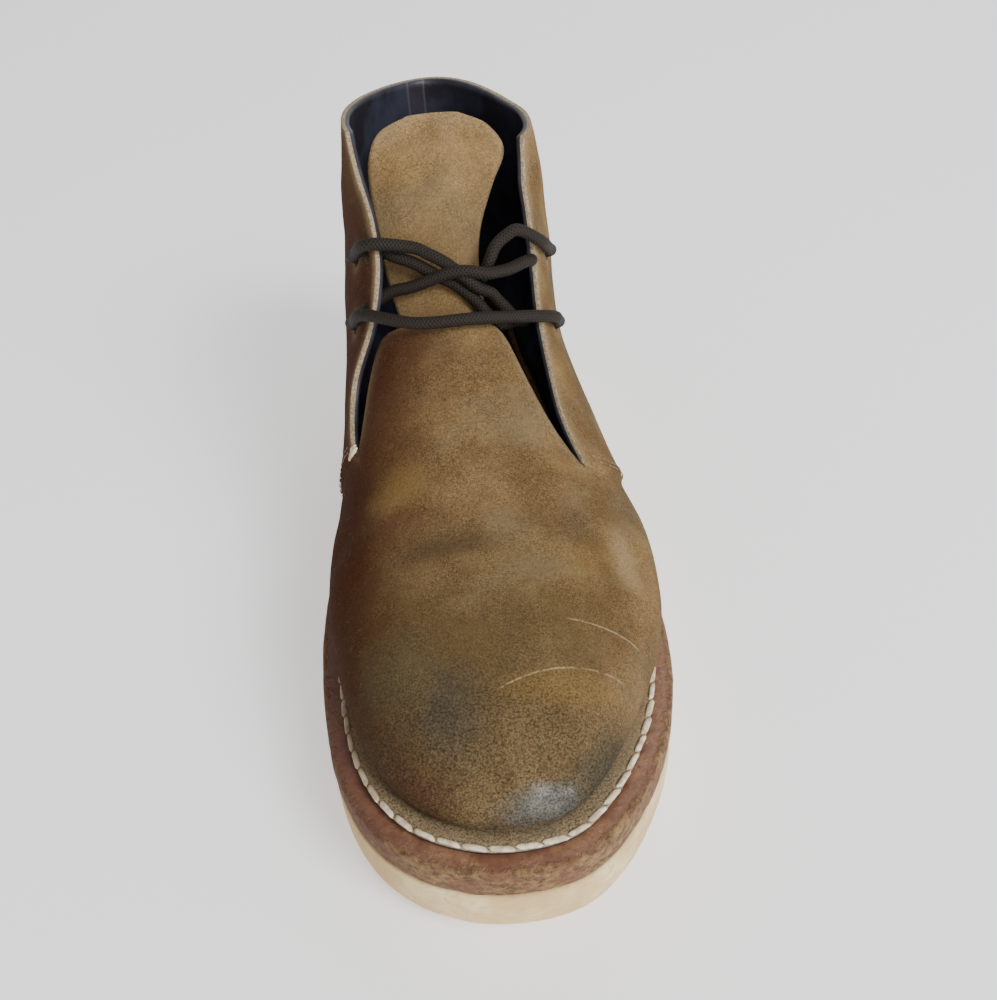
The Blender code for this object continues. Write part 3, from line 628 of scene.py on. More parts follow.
def upper_sheet():
    """The vamp with its tab, the quarters and the turned-out edge as one sheet."""
    sheet = Sheet()
    vamp, quarters = ring_rows()
    last = TAB_COLUMNS + WALL_COLUMNS
    for side in (-1, 1):
        corner = throat_corner(side)
        for ring, u in enumerate(vamp):
            place_flange(sheet, u, ring, side)
            blend = smoothstep(1.0, SEAM_ROW, u)
            split = TAB_COLUMNS / last * (1 - blend) + corner * blend
            for i in range(last + 1):
                share = split * i / TAB_COLUMNS
                if i > TAB_COLUMNS:
                    share = wall_share(split, i - TAB_COLUMNS)
                point, normal = wall_point(skewed(u, side, share, split), side, share)
                sheet.place(wall_name(u, ring, side, i), point, point - normal * WALL)
        for step, u in enumerate(quarters):
            ring = len(vamp) + step
            place_flange(sheet, u, ring, side)
            edge = facing_share(skewed(u, side, 0.5, 0.5), side)
            for i in range(WALL_COLUMNS + 1):
                share = wall_share(edge, i)
                point, normal = wall_point(skewed(u, side, share, edge), side, share)
                above = 1.0 - smoothstep(0.88, 1.0, share) * (u < HEEL_ROW)
                top = point + normal * OVERLAY * above + collar_drop(u, side, share, edge)
                name = wall_name(u, ring, side, TAB_COLUMNS + i)
                sheet.place(name, top, top - normal * WALL)
        for step in range(1, len(VAMP_TAB)):
            row = VAMP_TAB[step][0]
            half = VAMP_TAB[step][3 if side < 0 else 4] * BALL_WIDTH
            for i in range(TAB_COLUMNS + 1):
                at = row + (skewed(row, side, 0.5, 0.5) - row) * smoothstep(0, 1, i / TAB_COLUMNS)
                ridge = tab_ridge(at)
                curve = section_curve(at, side, ridge)
                share = share_at_width(curve, half) * i / TAB_COLUMNS
                point, normal = wall_point(at, side, share, ridge)
                sheet.place(("tab", step, 0 if i == 0 else side, i), point, point - normal * WALL)
    fill_upper(sheet, vamp, quarters)
    return sheet


def fill_upper(sheet, vamp, quarters):
    rings = vamp + quarters
    last = TAB_COLUMNS + WALL_COLUMNS

    def turn(side, names):
        return names if side > 0 else names[::-1]

    for side in (-1, 1):
        for ring in range(len(rings) - 1):
            u, after = rings[ring], rings[ring + 1]
            first = 0 if ring + 1 < len(vamp) else TAB_COLUMNS
            for i in range(first, last):
                near = [wall_name(u, ring, side, i), wall_name(u, ring, side, i + 1)]
                far = [wall_name(after, ring + 1, side, i + 1), wall_name(after, ring + 1, side, i)]
                sheet.quad(*turn(side, near + far))
            if after <= HEEL_ROW:
                here, there = side_name(u, side), side_name(after, side)
                near = [("feather", ring, here), ("flange", ring, here)]
                far = [("flange", ring + 1, there), ("feather", ring + 1, there)]
                sheet.quad(*turn(side, near + far))
        seam = len(vamp) - 1

        def tab_name(step, i):
            if step == 0:
                return wall_name(SEAM_ROW, seam, side, i)
            return ("tab", step, 0 if i == 0 else side, i)

        for step in range(len(VAMP_TAB) - 1):
            for i in range(TAB_COLUMNS):
                near = [tab_name(step, i), tab_name(step, i + 1)]
                far = [tab_name(step + 1, i + 1), tab_name(step + 1, i)]
                sheet.quad(*turn(side, near + far))


def eyelet_centre(u, side):
    """Middle of an eyelet on the outer face of a facing, and the hole's direction."""
    length = cumulative(section_curve(u, side))[-1]
    point, normal = wall_point(u, side, facing_share(u, side) + EYELET_INSET / length)
    return point + normal * OVERLAY, normal


def outline_row(side, distance, station):
    """Row of the feather line whose outline, moved outwards, reaches a station."""
    low, high = SEAM_ROW, HEEL_ROW
    for _ in range(40):
        middle = (low + high) / 2
        if outline_point(middle, side, distance, 0.0)[1] < y_at(station):
            low = middle
        else:
            high = middle
    return low


def lace_middle(path):
    return [np.array([x * BALL_WIDTH, y_at(at), height * COLLAR_HEIGHT]) for x, at, height in path]


shown_pieces = []


def add_piece(name, mesh, *materials):
    """A shown piece at the origin, which rides on the boot's one body."""
    mesh.name = name
    mesh.shade_smooth()
    for material in materials:
        mesh.materials.append(material)
    piece = bpy.data.objects.new(name, mesh)
    bpy.context.collection.objects.link(piece)
    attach(piece, "root")
    shown_pieces.append(piece)
    return piece


def apply_modifiers(piece):
    bpy.ops.object.select_all(action="DESELECT")
    bpy.context.view_layer.objects.active = piece
    piece.select_set(True)
    for modifier in list(piece.modifiers):
        bpy.ops.object.modifier_apply(modifier=modifier.name)
    piece.select_set(False)


def refine(piece, levels):
    smooth = piece.modifiers.new("refine", "SUBSURF")
    smooth.levels = levels
    smooth.render_levels = levels
    apply_modifiers(piece)


def vertex_arrays(mesh):
    points = np.empty(len(mesh.vertices) * 3)
    mesh.vertices.foreach_get("co", points)
    normals = np.array([tuple(item.vector) for item in mesh.vertex_normals])
    return points.reshape(-1, 3), normals


def set_points(mesh, points):
    mesh.vertices.foreach_set("co", np.asarray(points).ravel())
    mesh.update()


def set_attribute(mesh, name, values):
    attribute = mesh.attributes.new(name, "FLOAT", "POINT")
    attribute.data.foreach_set("value", np.asarray(values, dtype=np.float32))


def vertices_with(mesh, finish):
    """Which vertices belong to a face of one of the materials."""
    chosen = np.zeros(len(mesh.vertices), dtype=bool)
    for face in mesh.polygons:
        if face.material_index in finish:
            chosen[list(face.vertices)] = True
    return chosen


def distance_to(points, targets):
    """Distance of each point to the nearest target."""
    tree = kdtree.KDTree(len(targets))
    for index, target in enumerate(targets):
        tree.insert(target, index)
    tree.balance()
    return np.array([tree.find(point)[2] for point in points])


def ripple(points, size, seed=0.0):
    """Smooth noise from -1 to 1 at each point, with lumps of about this size."""
    return np.array([noise.noise(Vector(point) / size + Vector((seed, 0, 0))) for point in points])


def polyline_distance(points, line):
    """Distance in plan from each point to a line through (x, y) places, and how far along it."""
    best = np.full(len(points), 1e9)
    along = np.zeros(len(points))
    for index, (start, end) in enumerate(zip(line[:-1], line[1:])):
        step = end - start
        share = np.clip(((points[:, :2] - start) @ step) / (step @ step), 0.0, 1.0)
        gap = np.linalg.norm(points[:, :2] - start - share[:, None] * step, axis=1)
        nearer = gap < best
        best[nearer] = gap[nearer]
        along[nearer] = (index + share[nearer]) / (len(line) - 1)
    return best, along


def crease_depth(points):
    """How far the creases of the vamp push the surface in."""
    depth = np.zeros(len(points))
    for _, width, deep, places in CREASES:
        knots = np.array([(x * BALL_WIDTH, y_at(station)) for x, station in places])
        gap, along = polyline_distance(points, smooth_line(knots, 6))
        fade = np.sin(np.pi * np.clip(along, 0.02, 0.98)) ** 0.6
        depth += deep * fade * np.exp(-((gap / width) ** 2))
    return depth


def smooth_line(knots, steps):
    """A smooth line through knots, with this many steps between neighbours."""
    knots = np.asarray(knots, dtype=float)
    line = []
    for index in range((len(knots) - 1) * steps + 1):
        line.append([spline(list(knots[:, axis]), index / steps) for axis in range(knots.shape[1])])
    return np.array(line)


def place_run(line, count):
    """Evenly spaced places along a line, as positions and directions."""
    length = cumulative(line)
    at = (np.arange(count) + 0.5) / count * length[-1]
    reach = 0.4 / count * length[-1]

    def spot(where):
        return points_at(line, length, np.clip(where, 0, length[-1]))

    ways = spot(at + reach) - spot(at - reach)
    return spot(at), ways / np.linalg.norm(ways, axis=1)[:, None]


def tube_faces(start, rings, sides):
    """Faces of a closed tube whose points lie ring after ring, from point number start on."""
    faces = []
    for base in range(start, start + (rings - 1) * sides, sides):
        for side in range(sides):
            a, b = base + side, base + (side + 1) % sides
            faces.append([a, b, b + sides, a + sides])
    last = start + (rings - 1) * sides
    return faces + [list(range(start + sides - 1, start - 1, -1)), list(range(last, last + sides))]


def turn_outwards(mesh):
    work = bmesh.new()
    work.from_mesh(mesh)
    bmesh.ops.recalc_face_normals(work, faces=work.faces)
    work.to_mesh(mesh)
    work.free()


def thread_mesh(name, places, ways, ups, stitch):
    """Short lengths of thick thread, each from one hole to the next, as one mesh."""
    rings, sides = 9, 10
    points, faces = [], []
    chance = np.random.default_rng(4)
    for place, way, up in zip(places, ways, ups):
        wide = stitch["wide"] * (1 + stitch["uneven"] * chance.uniform(-1, 1))
        turn = stitch["turn"] * (1 + 3 * stitch["uneven"] * chance.uniform(-1, 1))
        across = unit(np.cross(way, up))
        up = np.cross(across, way)
        faces += tube_faces(len(points), rings, sides)
        for ring in range(rings):
            t = 2 * ring / (rings - 1) - 1
            swell = max(1 - abs(t) ** 10, 0.30) ** 0.5
            middle = place + way * t * stitch["long"] / 2 + across * t * turn * wide
            middle = middle + up * stitch["arch"] * (1 - t * t * 1.6)
            for side in range(sides):
                angle = 2 * math.pi * side / sides
                spread = across * math.cos(angle) * wide / 2 + up * math.sin(angle) * stitch["high"] / 2
                slant = way * math.cos(angle) * stitch["slant"]
                points.append(tuple(middle + spread * swell + slant))
    mesh = bpy.data.meshes.new(name)
    mesh.from_pydata(points, [], faces)
    return mesh


def build_upper(looks):
    sheet = upper_sheet()
    vamp, quarters = ring_rows()
    rings = vamp + quarters
    creased = []
    for ring, (u, after) in enumerate(zip(rings[:-1], rings[1:])):
        for side in (-1, 1):
            here, there = side_name(u, side), side_name(after, side)
            if after <= HEEL_ROW:
                creased.append((("feather", ring, here), ("feather", ring + 1, there)))
    upper = add_piece("suede_upper", sheet.mesh("suede_upper", creased), *looks)
    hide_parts("upper")
    refine(upper, 1)
    for rows in EYELETS:
        for u, side in zip(rows, (-1, 1)):
            punch_hole(upper, *eyelet_centre(u, side))
    mesh = upper.data
    points, normals = vertex_arrays(mesh)
    outside = vertices_with(mesh, (0,))
    cut = vertices_with(mesh, (1,))
    rows = np.arange(FINE * HEEL_ROW + 1) / FINE
    feather = [outline_point(u, side, 0.0, FEATHER_RISE) for u in rows for side in (-1, 1)]
    to_feather = distance_to(points, feather)
    to_cut = distance_to(points, points[cut & (to_feather > 2 * FLANGE_WIDTH)])
    still = np.clip(to_feather / (6 * MM), 0, 1) * np.clip(to_cut / (3 * MM), 0.25, 1)
    upward = np.clip(normals[:, 2] * 2, 0, 1)
    push = -crease_depth(points) * upward
    push += 0.35 * MM * ripple(points, 0.030) + 0.16 * MM * ripple(points, 0.009, 7.0)
    points[outside] += (normals * (push * still)[:, None])[outside]
    set_points(mesh, points)
    set_attribute(mesh, "rim", np.exp(-to_cut / RIM_REACH))
    # Masks for painted shade: along the feather line, and in the creases by their depth.
    set_attribute(mesh, "painted_feather_shade", np.exp(-((to_feather / (1.5 * MM)) ** 2)))
    set_attribute(mesh, "fold", crease_depth(points) / MM)
    level = points[:, 2] - FEATHER_RISE - np.array([lift(y) for y in points[:, 1]])
    set_attribute(mesh, "flange", np.clip(1.5 - level / MM, 0, 1))
    return upper


def punch_hole(upper, centre, direction):
    """A round lace hole through the facing."""
    bpy.ops.mesh.primitive_cylinder_add(vertices=24, radius=EYELET_DIAMETER / 2, depth=CUTTER_LENGTH)
    cutter = bpy.context.object
    cutter.rotation_mode = "QUATERNION"
    cutter.rotation_quaternion = Vector(direction).to_track_quat("Z", "Y")
    cutter.location = centre
    bpy.context.view_layer.update()
    cutter.data.materials.append(upper.data.materials[1])
    cut = upper.modifiers.new("hole", "BOOLEAN")
    cut.operation = "DIFFERENCE"
    cut.solver = "EXACT"
    cut.object = cutter
    apply_modifiers(upper)
    bpy.data.objects.remove(cutter, do_unlink=True)


def sole_rows():
    rows = [*SOLE_ENDS, 1.0]
    while rows[-1] < HEEL_ROW - 1:
        rows.append(rows[-1] + SOLE_STEP)
    return rows + [HEEL_ROW - share for share in reversed(SOLE_ENDS)]


def layered(name, layers, rows=None, point=outline_point):
    """A flat-lying solid from outlines, each a distance from the feather line and a height.

    The attribute "down" runs from 0 at the last layer to 1 at the first.
    """
    first = 1 if rows is None else 0
    rows = sole_rows() if rows is None else rows
    sides = [(-1, u) for u in reversed(rows)] + [(1, u) for u in rows[first:-1]]
    count = len(sides)
    points, down = [], []
    for level, (distance, height) in enumerate(layers):
        points += [tuple(point(u, side, distance, height)) for side, u in sides]
        down += [1 - level / (len(layers) - 1)] * count
    faces = []
    for level in range(len(layers) - 1):
        for i in range(count):
            a, b = level * count + i, level * count + (i + 1) % count
            faces.append([a, b, b + count, a + count])
    for base, flip in ((0, True), ((len(layers) - 1) * count, False)):
        left, right = 0, count
        while right - left > 1:
            ring = [left, left + 1, right - 1, right % count]
            ring = [base + k for k in dict.fromkeys(ring)]
            if len(ring) > 2:
                faces.append(ring[::-1] if flip else ring)
            left, right = left + 1, right - 1
    mesh = bpy.data.meshes.new(name)
    mesh.from_pydata(points, [], faces)
    turn_outwards(mesh)
    set_attribute(mesh, "down", down)
    return mesh


def arc(start, end, steps, convex=1):
    """Points of a quarter ellipse between two (distance, height) places."""
    places = []
    for step in range(1, steps + 1):
        angle = math.pi / 2 * step / steps
        far, near = math.sin(angle), 1 - math.cos(angle)
        if convex < 0:
            far, near = near, far
        places.append((start[0] + (end[0] - start[0]) * far, start[1] + (end[1] - start[1]) * near))
    return places


def build_outsole(look):
    edge = EDGE_INSET
    top = OUTSOLE_THICKNESS
    layers = [(edge - 5 * MM, 0.0), (edge - 3.5 * MM, 0.0)]
    layers += arc((edge - 3.5 * MM, 0.0), (edge, 3.5 * MM), 6)
    layers += [(edge + 0.1 * MM, 6 * MM), (edge + 0.1 * MM, 9 * MM), (edge, top - 1 * MM)]
    layers += arc((edge, top - 1 * MM), (edge - 1 * MM, top), 3, -1)
    piece = add_piece("rubber_outsole", layered("rubber_outsole", layers), look)
    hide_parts("outsole")
    points, normals = vertex_arrays(piece.data)
    push = 0.10 * MM * ripple(points, 0.012) + 0.05 * MM * ripple(points, 0.004, 3.0)
    push[points[:, 2] < [lift(y) + 1 * MM for y in points[:, 1]]] = 0.0
    set_points(piece.data, points + normals * push[:, None])
    return piece


def build_heel(look):
    edge = EDGE_INSET - 0.4 * MM
    front = {side: outline_row(side, edge, HEEL_BREAST) for side in (-1, 1)}
    back = [u for u in sole_rows() if u > max(front.values()) + 0.1]

    def block_point(u, side, distance, level):
        point = outline_point(front[side] if u == 0 else u, side, distance, -CLEARANCE)
        if u == 0:
            point[1] = y_at(HEEL_BREAST)
        point[2] *= level
        return point

    layers = [(edge - 2 * MM, 0.0)] + arc((edge - 2 * MM, 0.0), (edge, 0.14), 4)
    layers += [(edge, 0.5), (edge, 0.92), (edge - 0.5 * MM, 1.0)]
    mesh = layered("rubber_heel", layers, rows=[0.0] + back, point=block_point)
    piece = add_piece("rubber_heel", mesh, look)
    mesh.set_sharp_from_angle(angle=math.radians(50))
    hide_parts("heel")
    return piece


def build_midsole(look):
    edge = EDGE_INSET - 0.2 * MM
    top = STACK
    layers = [(edge - 1.2 * MM, MIDSOLE_BASE)]
    layers += arc((edge - 1.2 * MM, MIDSOLE_BASE), (edge, MIDSOLE_BASE + 0.9 * MM), 3)
    side = 6
    for step in range(1, side + 1):
        share = step / side
        height = MIDSOLE_BASE + 0.9 * MM + (MIDSOLE_THICKNESS - 2.7 * MM) * share
        layers.append((edge + 0.2 * MM * math.sin(math.pi * share), height))
    layers += arc(layers[-1], (edge - 2.2 * MM, top), 7, -1)
    layers += [(edge - 4.2 * MM, top), (edge - 5.4 * MM, top), (edge - 7.5 * MM, top)]
    piece = add_piece("leather_midsole", layered("leather_midsole", layers), look)
    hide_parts("midsole")
    points, normals = vertex_arrays(piece.data)
    down = np.array([item.value for item in piece.data.attributes["down"].data])
    rough = np.clip((down - 0.35) * 4, 0, 1) * np.clip((1 - down) * 12, 0, 1)
    worn = ripple(points, 0.006) * 0.22 + ripple(points, 0.0022, 5.0) * 0.16
    soft = ripple(points, 0.016, 2.0) * 0.12
    push = (rough * worn + np.clip(down * 8, 0, 1) * soft) * MM
    set_points(piece.data, points + normals * push[:, None])
    return piece


def build_flange_stitches(look):
    rows = np.arange(FINE * HEEL_ROW + 1) / FINE
    around = [(-1, u) for u in rows[:0:-1]] + [(1, u) for u in rows]
    out = FLANGE_WIDTH - STITCH_INSET
    line = np.array([outline_point(u, side, out, FEATHER_RISE) for side, u in around])
    count = round(cumulative(line)[-1] / STITCH_PITCH)
    places, ways = place_run(line, count)
    ups = [np.array([0.0, 0.0, 1.0])] * count
    mesh = thread_mesh("flange_stitches", places, ways, ups, FLANGE_STITCH)
    piece = add_piece("flange_stitches", mesh, look)
    return piece


def seam_place(side, share, back):
    """A place on a quarter, this far behind its front edge, with the direction square to it."""
    corner = throat_corner(side)
    edge, normal = wall_point(skewed(SEAM_ROW, side, share, corner), side, share)
    behind = wall_point(skewed(SEAM_ROW + 0.3, side, share, corner), side, share)[0] - edge
    return edge + unit(behind) * back + normal * OVERLAY, normal


def build_seam_stitches(look):
    """Two rows of fine stitches behind the front edge of each quarter."""
    places, ways, ups = [], [], []
    for side in (-1, 1):
        corner = throat_corner(side)
        for back in SEAM_STITCH_ROWS:
            shares = np.linspace(corner + 0.035, 0.93, 60)
            line = np.array([seam_place(side, share, back)[0] for share in shares])
            length = cumulative(line)
            count = round(length[-1] / SEAM_STITCH_PITCH)
            spots, runs = place_run(line, count)
            at = np.interp((np.arange(count) + 0.5) / count, length / length[-1], shares)
            places += list(spots)
            ways += list(runs)
            ups += [seam_place(side, share, back)[1] for share in at]
    mesh = thread_mesh("seam_stitches", places, ways, ups, SEAM_STITCH)
    piece = add_piece("seam_stitches", mesh, look)
    return piece


def build_throat_tack(look):
    """The pale thread that closes the inner throat corner."""
    corner = throat_corner(-1)
    places, ways, ups = [], [], []
    for share, back, turn in THROAT_TACK:
        place, normal = seam_place(-1, corner + share, back)
        along = unit(seam_place(-1, corner + share + 0.03, back)[0] - place)
        across = np.cross(normal, along)
        way = math.cos(turn) * along + math.sin(turn) * across
        places.append(place + normal * 0.2 * MM)
        ways.append(way)
        ups.append(normal)
    mesh = thread_mesh("throat_tack", places, ways, ups, TACK_STITCH)
    piece = add_piece("throat_tack", mesh, look)
    return piece


def build_tongue(looks):
    sheet = Sheet()
    last = len(TONGUE) - 1
    steps = TONGUE_STEPS * last
    columns = range(-TONGUE_COLUMNS, TONGUE_COLUMNS + 1)

    def surface(row, share):
        half = side_value(TONGUE, 2, row, share) * BALL_WIDTH
        sag = spline(column(TONGUE, 4), row) * BALL_WIDTH
        y = y_at(spline(column(TONGUE, 0), row))
        z = spline(column(TONGUE, 1), row) * COLLAR_HEIGHT
        return np.array([share * half, y + 0.5 * sag * share**2, z - sag * share**2])

    for step in range(steps + 1):
        row = step / TONGUE_STEPS
        for index in columns:
            share = index / TONGUE_COLUMNS
            forward = surface(min(row + 0.1, last), share) - surface(max(row - 0.1, 0), share)
            across = surface(row, min(share + 0.1, 1)) - surface(row, max(share - 0.1, -1))
            normal = unit(np.cross(across, forward))
            point = surface(row, share)
            sheet.place((step, index), point, point - normal * TONGUE_THICKNESS)
    for step in range(steps):
        for index in columns[:-1]:
            sheet.quad((step, index), (step, index + 1), (step + 1, index + 1), (step + 1, index))
    piece = add_piece("suede_tongue", sheet.mesh("suede_tongue"), *looks)
    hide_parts("tongue")
    refine(piece, 1)
    mesh = piece.data
    points, normals = vertex_arrays(mesh)
    outside = vertices_with(mesh, (0,))
    to_cut = distance_to(points, points[vertices_with(mesh, (1,))])
    push = 0.25 * MM * ripple(points, 0.022, 4.0) * np.clip(to_cut / (4 * MM), 0.2, 1)
    points[outside] += (normals * push[:, None])[outside]
    set_points(mesh, points)
    set_attribute(mesh, "rim", np.exp(-to_cut / RIM_REACH))
    return piece


def cord_mesh(name, path, width, sides=14, step=0.8 * MM):
    """A round cord along a path, with a UV map that runs round it and along it."""
    line = smooth_line(path, 12)
    length = cumulative(line)
    count = max(int(length[-1] / step), 4)
    at = np.linspace(0, length[-1], count + 1)
    line = points_at(line, length, at)
    way = np.gradient(line, axis=0)
    way /= np.linalg.norm(way, axis=1)[:, None]
    side = np.cross(way[0], (0.0, 0.0, 1.0))
    points, places = [], []
    for index in range(count + 1):
        side = unit(side - way[index] * (side @ way[index]))
        up = np.cross(side, way[index])
        end = min(index, count - index) * step
        radius = width / 2 * min(1.0, math.sqrt(max(end / (width / 2), 0.0)) * 0.6 + 0.45)
        for turn in range(sides):
            angle = 2 * math.pi * turn / sides
            points.append(line[index] + radius * (side * math.cos(angle) + up * math.sin(angle)))
    for low, high in zip(at[:-1] / width, at[1:] / width):
        for turn in range(sides):
            left, right = turn / sides, (turn + 1) / sides
            places += [(left, low), (right, low), (right, high), (left, high)]
    places += [(0.5, 0.5)] * (2 * sides)
    mesh = bpy.data.meshes.new(name)
    mesh.from_pydata([tuple(point) for point in points], [], tube_faces(0, count + 1, sides))
    layer = mesh.uv_layers.new(name="cord")
    layer.data.foreach_set("uv", np.array(places).ravel())
    turn_outwards(mesh)
    return mesh


def into_hole(u, side, radius):
    """The lace's way over the edge of a facing, across it and down through its hole."""
    edge, normal = wall_point(u, side, facing_share(u, side))
    centre, direction = eyelet_centre(u, side)
    over_edge = edge + normal * (OVERLAY + LACE_REST + radius)
    before = centre + (edge - centre) * 0.30 + direction * (LACE_REST + radius)
    turn = centre + direction * radius * 0.55
    inside = centre - direction * 2.5 * WALL
    return [over_edge, before, turn, inside]


def build_lace(look):
    radius = LACE_DIAMETER / 2
    low, high = EYELETS
    middle = {name: lace_middle(path) for name, path in LACE_ROUTES.items()}
    routes = {
        "lace_bar": into_hole(low[0], -1, radius)[::-1] + middle["bar"] + into_hole(low[1], 1, radius),
        "lace_over_inner": into_hole(high[0], -1, radius)[::-1] + middle["over_inner"],
        "lace_over_outer": into_hole(high[1], 1, radius)[::-1] + middle["over_outer"],
        "lace_under_inner": middle["under_inner"],
        "lace_under_outer": middle["under_outer"],
    }
    for name, path in routes.items():
        piece = add_piece(name, cord_mesh(name, np.array(path), LACE_DIAMETER), look)
        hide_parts("lace")


class Look:
    """A material whose nodes are added and joined one call at a time."""

    def __init__(self, name, roughness, **values):
        self.material = bpy.data.materials.new(name)
        self.material.use_nodes = True
        self.tree = self.material.node_tree
        self.shader = self.tree.nodes["Principled BSDF"]
        self.shader.inputs["Roughness"].default_value = roughness
        for socket, value in values.items():
            self.shader.inputs[socket.replace("_", " ")].default_value = value
        self.places = self.node("TexCoord", {}).outputs["Object"]
        self.places = self.mapped((SIDE_SHIFT, 0, 0), (1, 1, 1))

    def join(self, source, socket):
        if hasattr(source, "is_output"):
            self.tree.links.new(source, socket)
        elif hasattr(source, "__len__") and len(source) == 3 and socket.type == "RGBA":
            socket.default_value = (*source, 1.0)
        else:
            socket.default_value = source

    def node(self, kind, sockets, **settings):
        """A new node with its settings, and each input socket's value or the output it joins."""
        node = self.tree.nodes.new("ShaderNode" + kind)
        for name, value in settings.items():
            setattr(node, name, value)
        for socket, source in sockets.items():
            self.join(source, node.inputs[socket])
        return node

    def noise(self, size, detail=3.0, rough=0.55, stretch=(1, 1, 1)):
        where = self.mapped((0, 0, 0), stretch)
        sockets = {"Scale": 1 / size, "Detail": detail, "Roughness": rough, "Vector": where}
        return self.node("TexNoise", sockets).outputs["Fac"]

    def mapped(self, centre, stretch):
        sockets = {"Location": centre, "Scale": stretch, "Vector": self.places}
        return self.node("Mapping", sockets, vector_type="TEXTURE").outputs["Vector"]

    def axes(self):
        node = self.node("SeparateXYZ", {0: self.places})
        return node.outputs["X"], node.outputs["Y"]

    def attribute(self, name):
        return self.node("Attribute", {}, attribute_name=name).outputs["Fac"]

    def math(self, operation, first, second=0.0, third=0.0):
        sockets = {0: first, 1: second, 2: third}
        return self.node("Math", sockets, operation=operation).outputs["Value"]

    def times(self, first, second):
        return self.math("MULTIPLY", first, second)

    def spread(self, value, low, high, start=0.0, end=1.0):
        """A value's range from low to high, mapped smoothly to start to end."""
        sockets = {0: value, 1: low, 2: high, 3: start, 4: end}
        return self.node("MapRange", sockets, interpolation_type="SMOOTHSTEP").outputs["Result"]

    def mix(self, share, first, second, kind="MIX"):
        sockets = {"Factor": share, 6: first, 7: second}
        settings = {"data_type": "RGBA", "blend_type": kind, "clamp_factor": True}
        return self.node("Mix", sockets, **settings).outputs[2]

    def spot(self, centre, reach, soft=0.5, wobble=0.0, size=0.01):
        """1 inside an ellipsoid on the boot, falling to 0 at its edge, with an uneven outline."""
        node = self.node("VectorMath", {0: self.mapped(centre, reach)}, operation="LENGTH")
        away = node.outputs["Value"]
        if wobble:
            away = self.math("MULTIPLY_ADD", self.noise(size), wobble, away)
            away = self.math("SUBTRACT", away, wobble / 2)
        return self.spread(away, 1 - soft, 1 + soft * 0.2, 1.0, 0.0)

    def arc_line(self, centre, radius, width, low, high):
        """1 on a thin ring in plan between two x places: a scratch."""
        x, y = self.axes()
        dx, dy = self.math("SUBTRACT", x, centre[0]), self.math("SUBTRACT", y, centre[1])
        square = self.math("ADD", self.math("POWER", dx, 2), self.math("POWER", dy, 2))
        away = self.math("POWER", square, 0.5)
        ring = self.spread(self.math("ABSOLUTE", self.math("SUBTRACT", away, radius)), 0, width, 1, 0)
        inside = self.spread(x, low, low + 3 * MM)
        before = self.spread(x, high - 3 * MM, high, 1, 0)
        return self.times(self.times(ring, inside), before)

    def height(self, *parts):
        """A bump from (value, depth in metres) parts."""
        below = {}
        for value, depth in parts:
            sockets = {"Distance": depth, "Strength": 1.0, "Height": value, **below}
            below["Normal"] = self.node("Bump", sockets).outputs["Normal"]
        self.join(below["Normal"], self.shader.inputs["Normal"])

    def colour(self, value):
        self.join(value, self.shader.inputs["Base Color"])

    def roughness(self, value):
        self.join(value, self.shader.inputs["Roughness"])


def suede_nap(look, light, dark):
    """Short nap: fine grain, brushed patches and slow changes between a light and a dark brown."""
    grain = look.noise(0.42 * MM, 2.0, 0.6)
    tuft = look.noise(1.6 * MM, 3.0, 0.6)
    patch = look.noise(22 * MM, 4.0, 0.55)
    shade = look.math("MULTIPLY_ADD", grain, 0.7, look.times(tuft, 0.3))
    colour = look.mix(look.spread(shade, 0.25, 0.75), dark, light)
    tint = look.noise(30 * MM, 3.0, 0.5)
    colour = look.mix(look.spread(tint, 0.50, 0.68, 0.0, 0.40), colour, (0.280, 0.170, 0.055))
    cool = look.noise(24 * MM, 3.0, 0.5, (1.3, 1.0, 1.0))
    colour = look.mix(look.spread(cool, 0.50, 0.70, 0.0, 0.40), colour, (0.165, 0.140, 0.088))
    brushed = look.mix(look.spread(patch, 0.36, 0.64), (0.66, 0.64, 0.62), (1.0, 1.0, 1.0))
    colour = look.mix(1.0, colour, brushed, "MULTIPLY")
    look.height((tuft, 0.22 * MM), (grain, 0.30 * MM))
    return colour


def nap_grain(look, colour, rough):
    """Dark pits and pale fibre ends over all the stains, painted shade and painted highlight of the suede,
    stronger where it is rough.
    """
    grain = look.noise(0.62 * MM, 4.0, 0.72)
    patchy = look.spread(look.noise(9 * MM, 3.0, 0.6), 0.35, 0.65, 0.30, 0.70)
    pits = look.mix(look.spread(grain, 0.33, 0.64), (0.40, 0.39, 0.37), (1.36, 1.36, 1.33))
    pitted = look.mix(1.0, colour, pits, "MULTIPLY")
    colour = look.mix(look.math("MAXIMUM", patchy, rough), colour, pitted)
    hair = look.math("ABSOLUTE", look.math("SUBTRACT", look.noise(1.3 * MM, 1.0, 0.5), 0.5))
    loose = look.spread(look.noise(2.4 * MM, 2.0), 0.52, 0.66, 0.0, 0.12)
    hair = look.times(look.spread(hair, 0.0, 0.030, 1.0, 0.0), loose)
    return look.mix(hair, colour, (0.480, 0.380, 0.250))


def stain_or_painted_light(look, colour, share, stain_or_light_colour, reach):
    """A stain, painted shade or painted highlight over a colour, at most this strong, through a mask."""
    return look.mix(look.times(reach, share), colour, stain_or_light_colour)


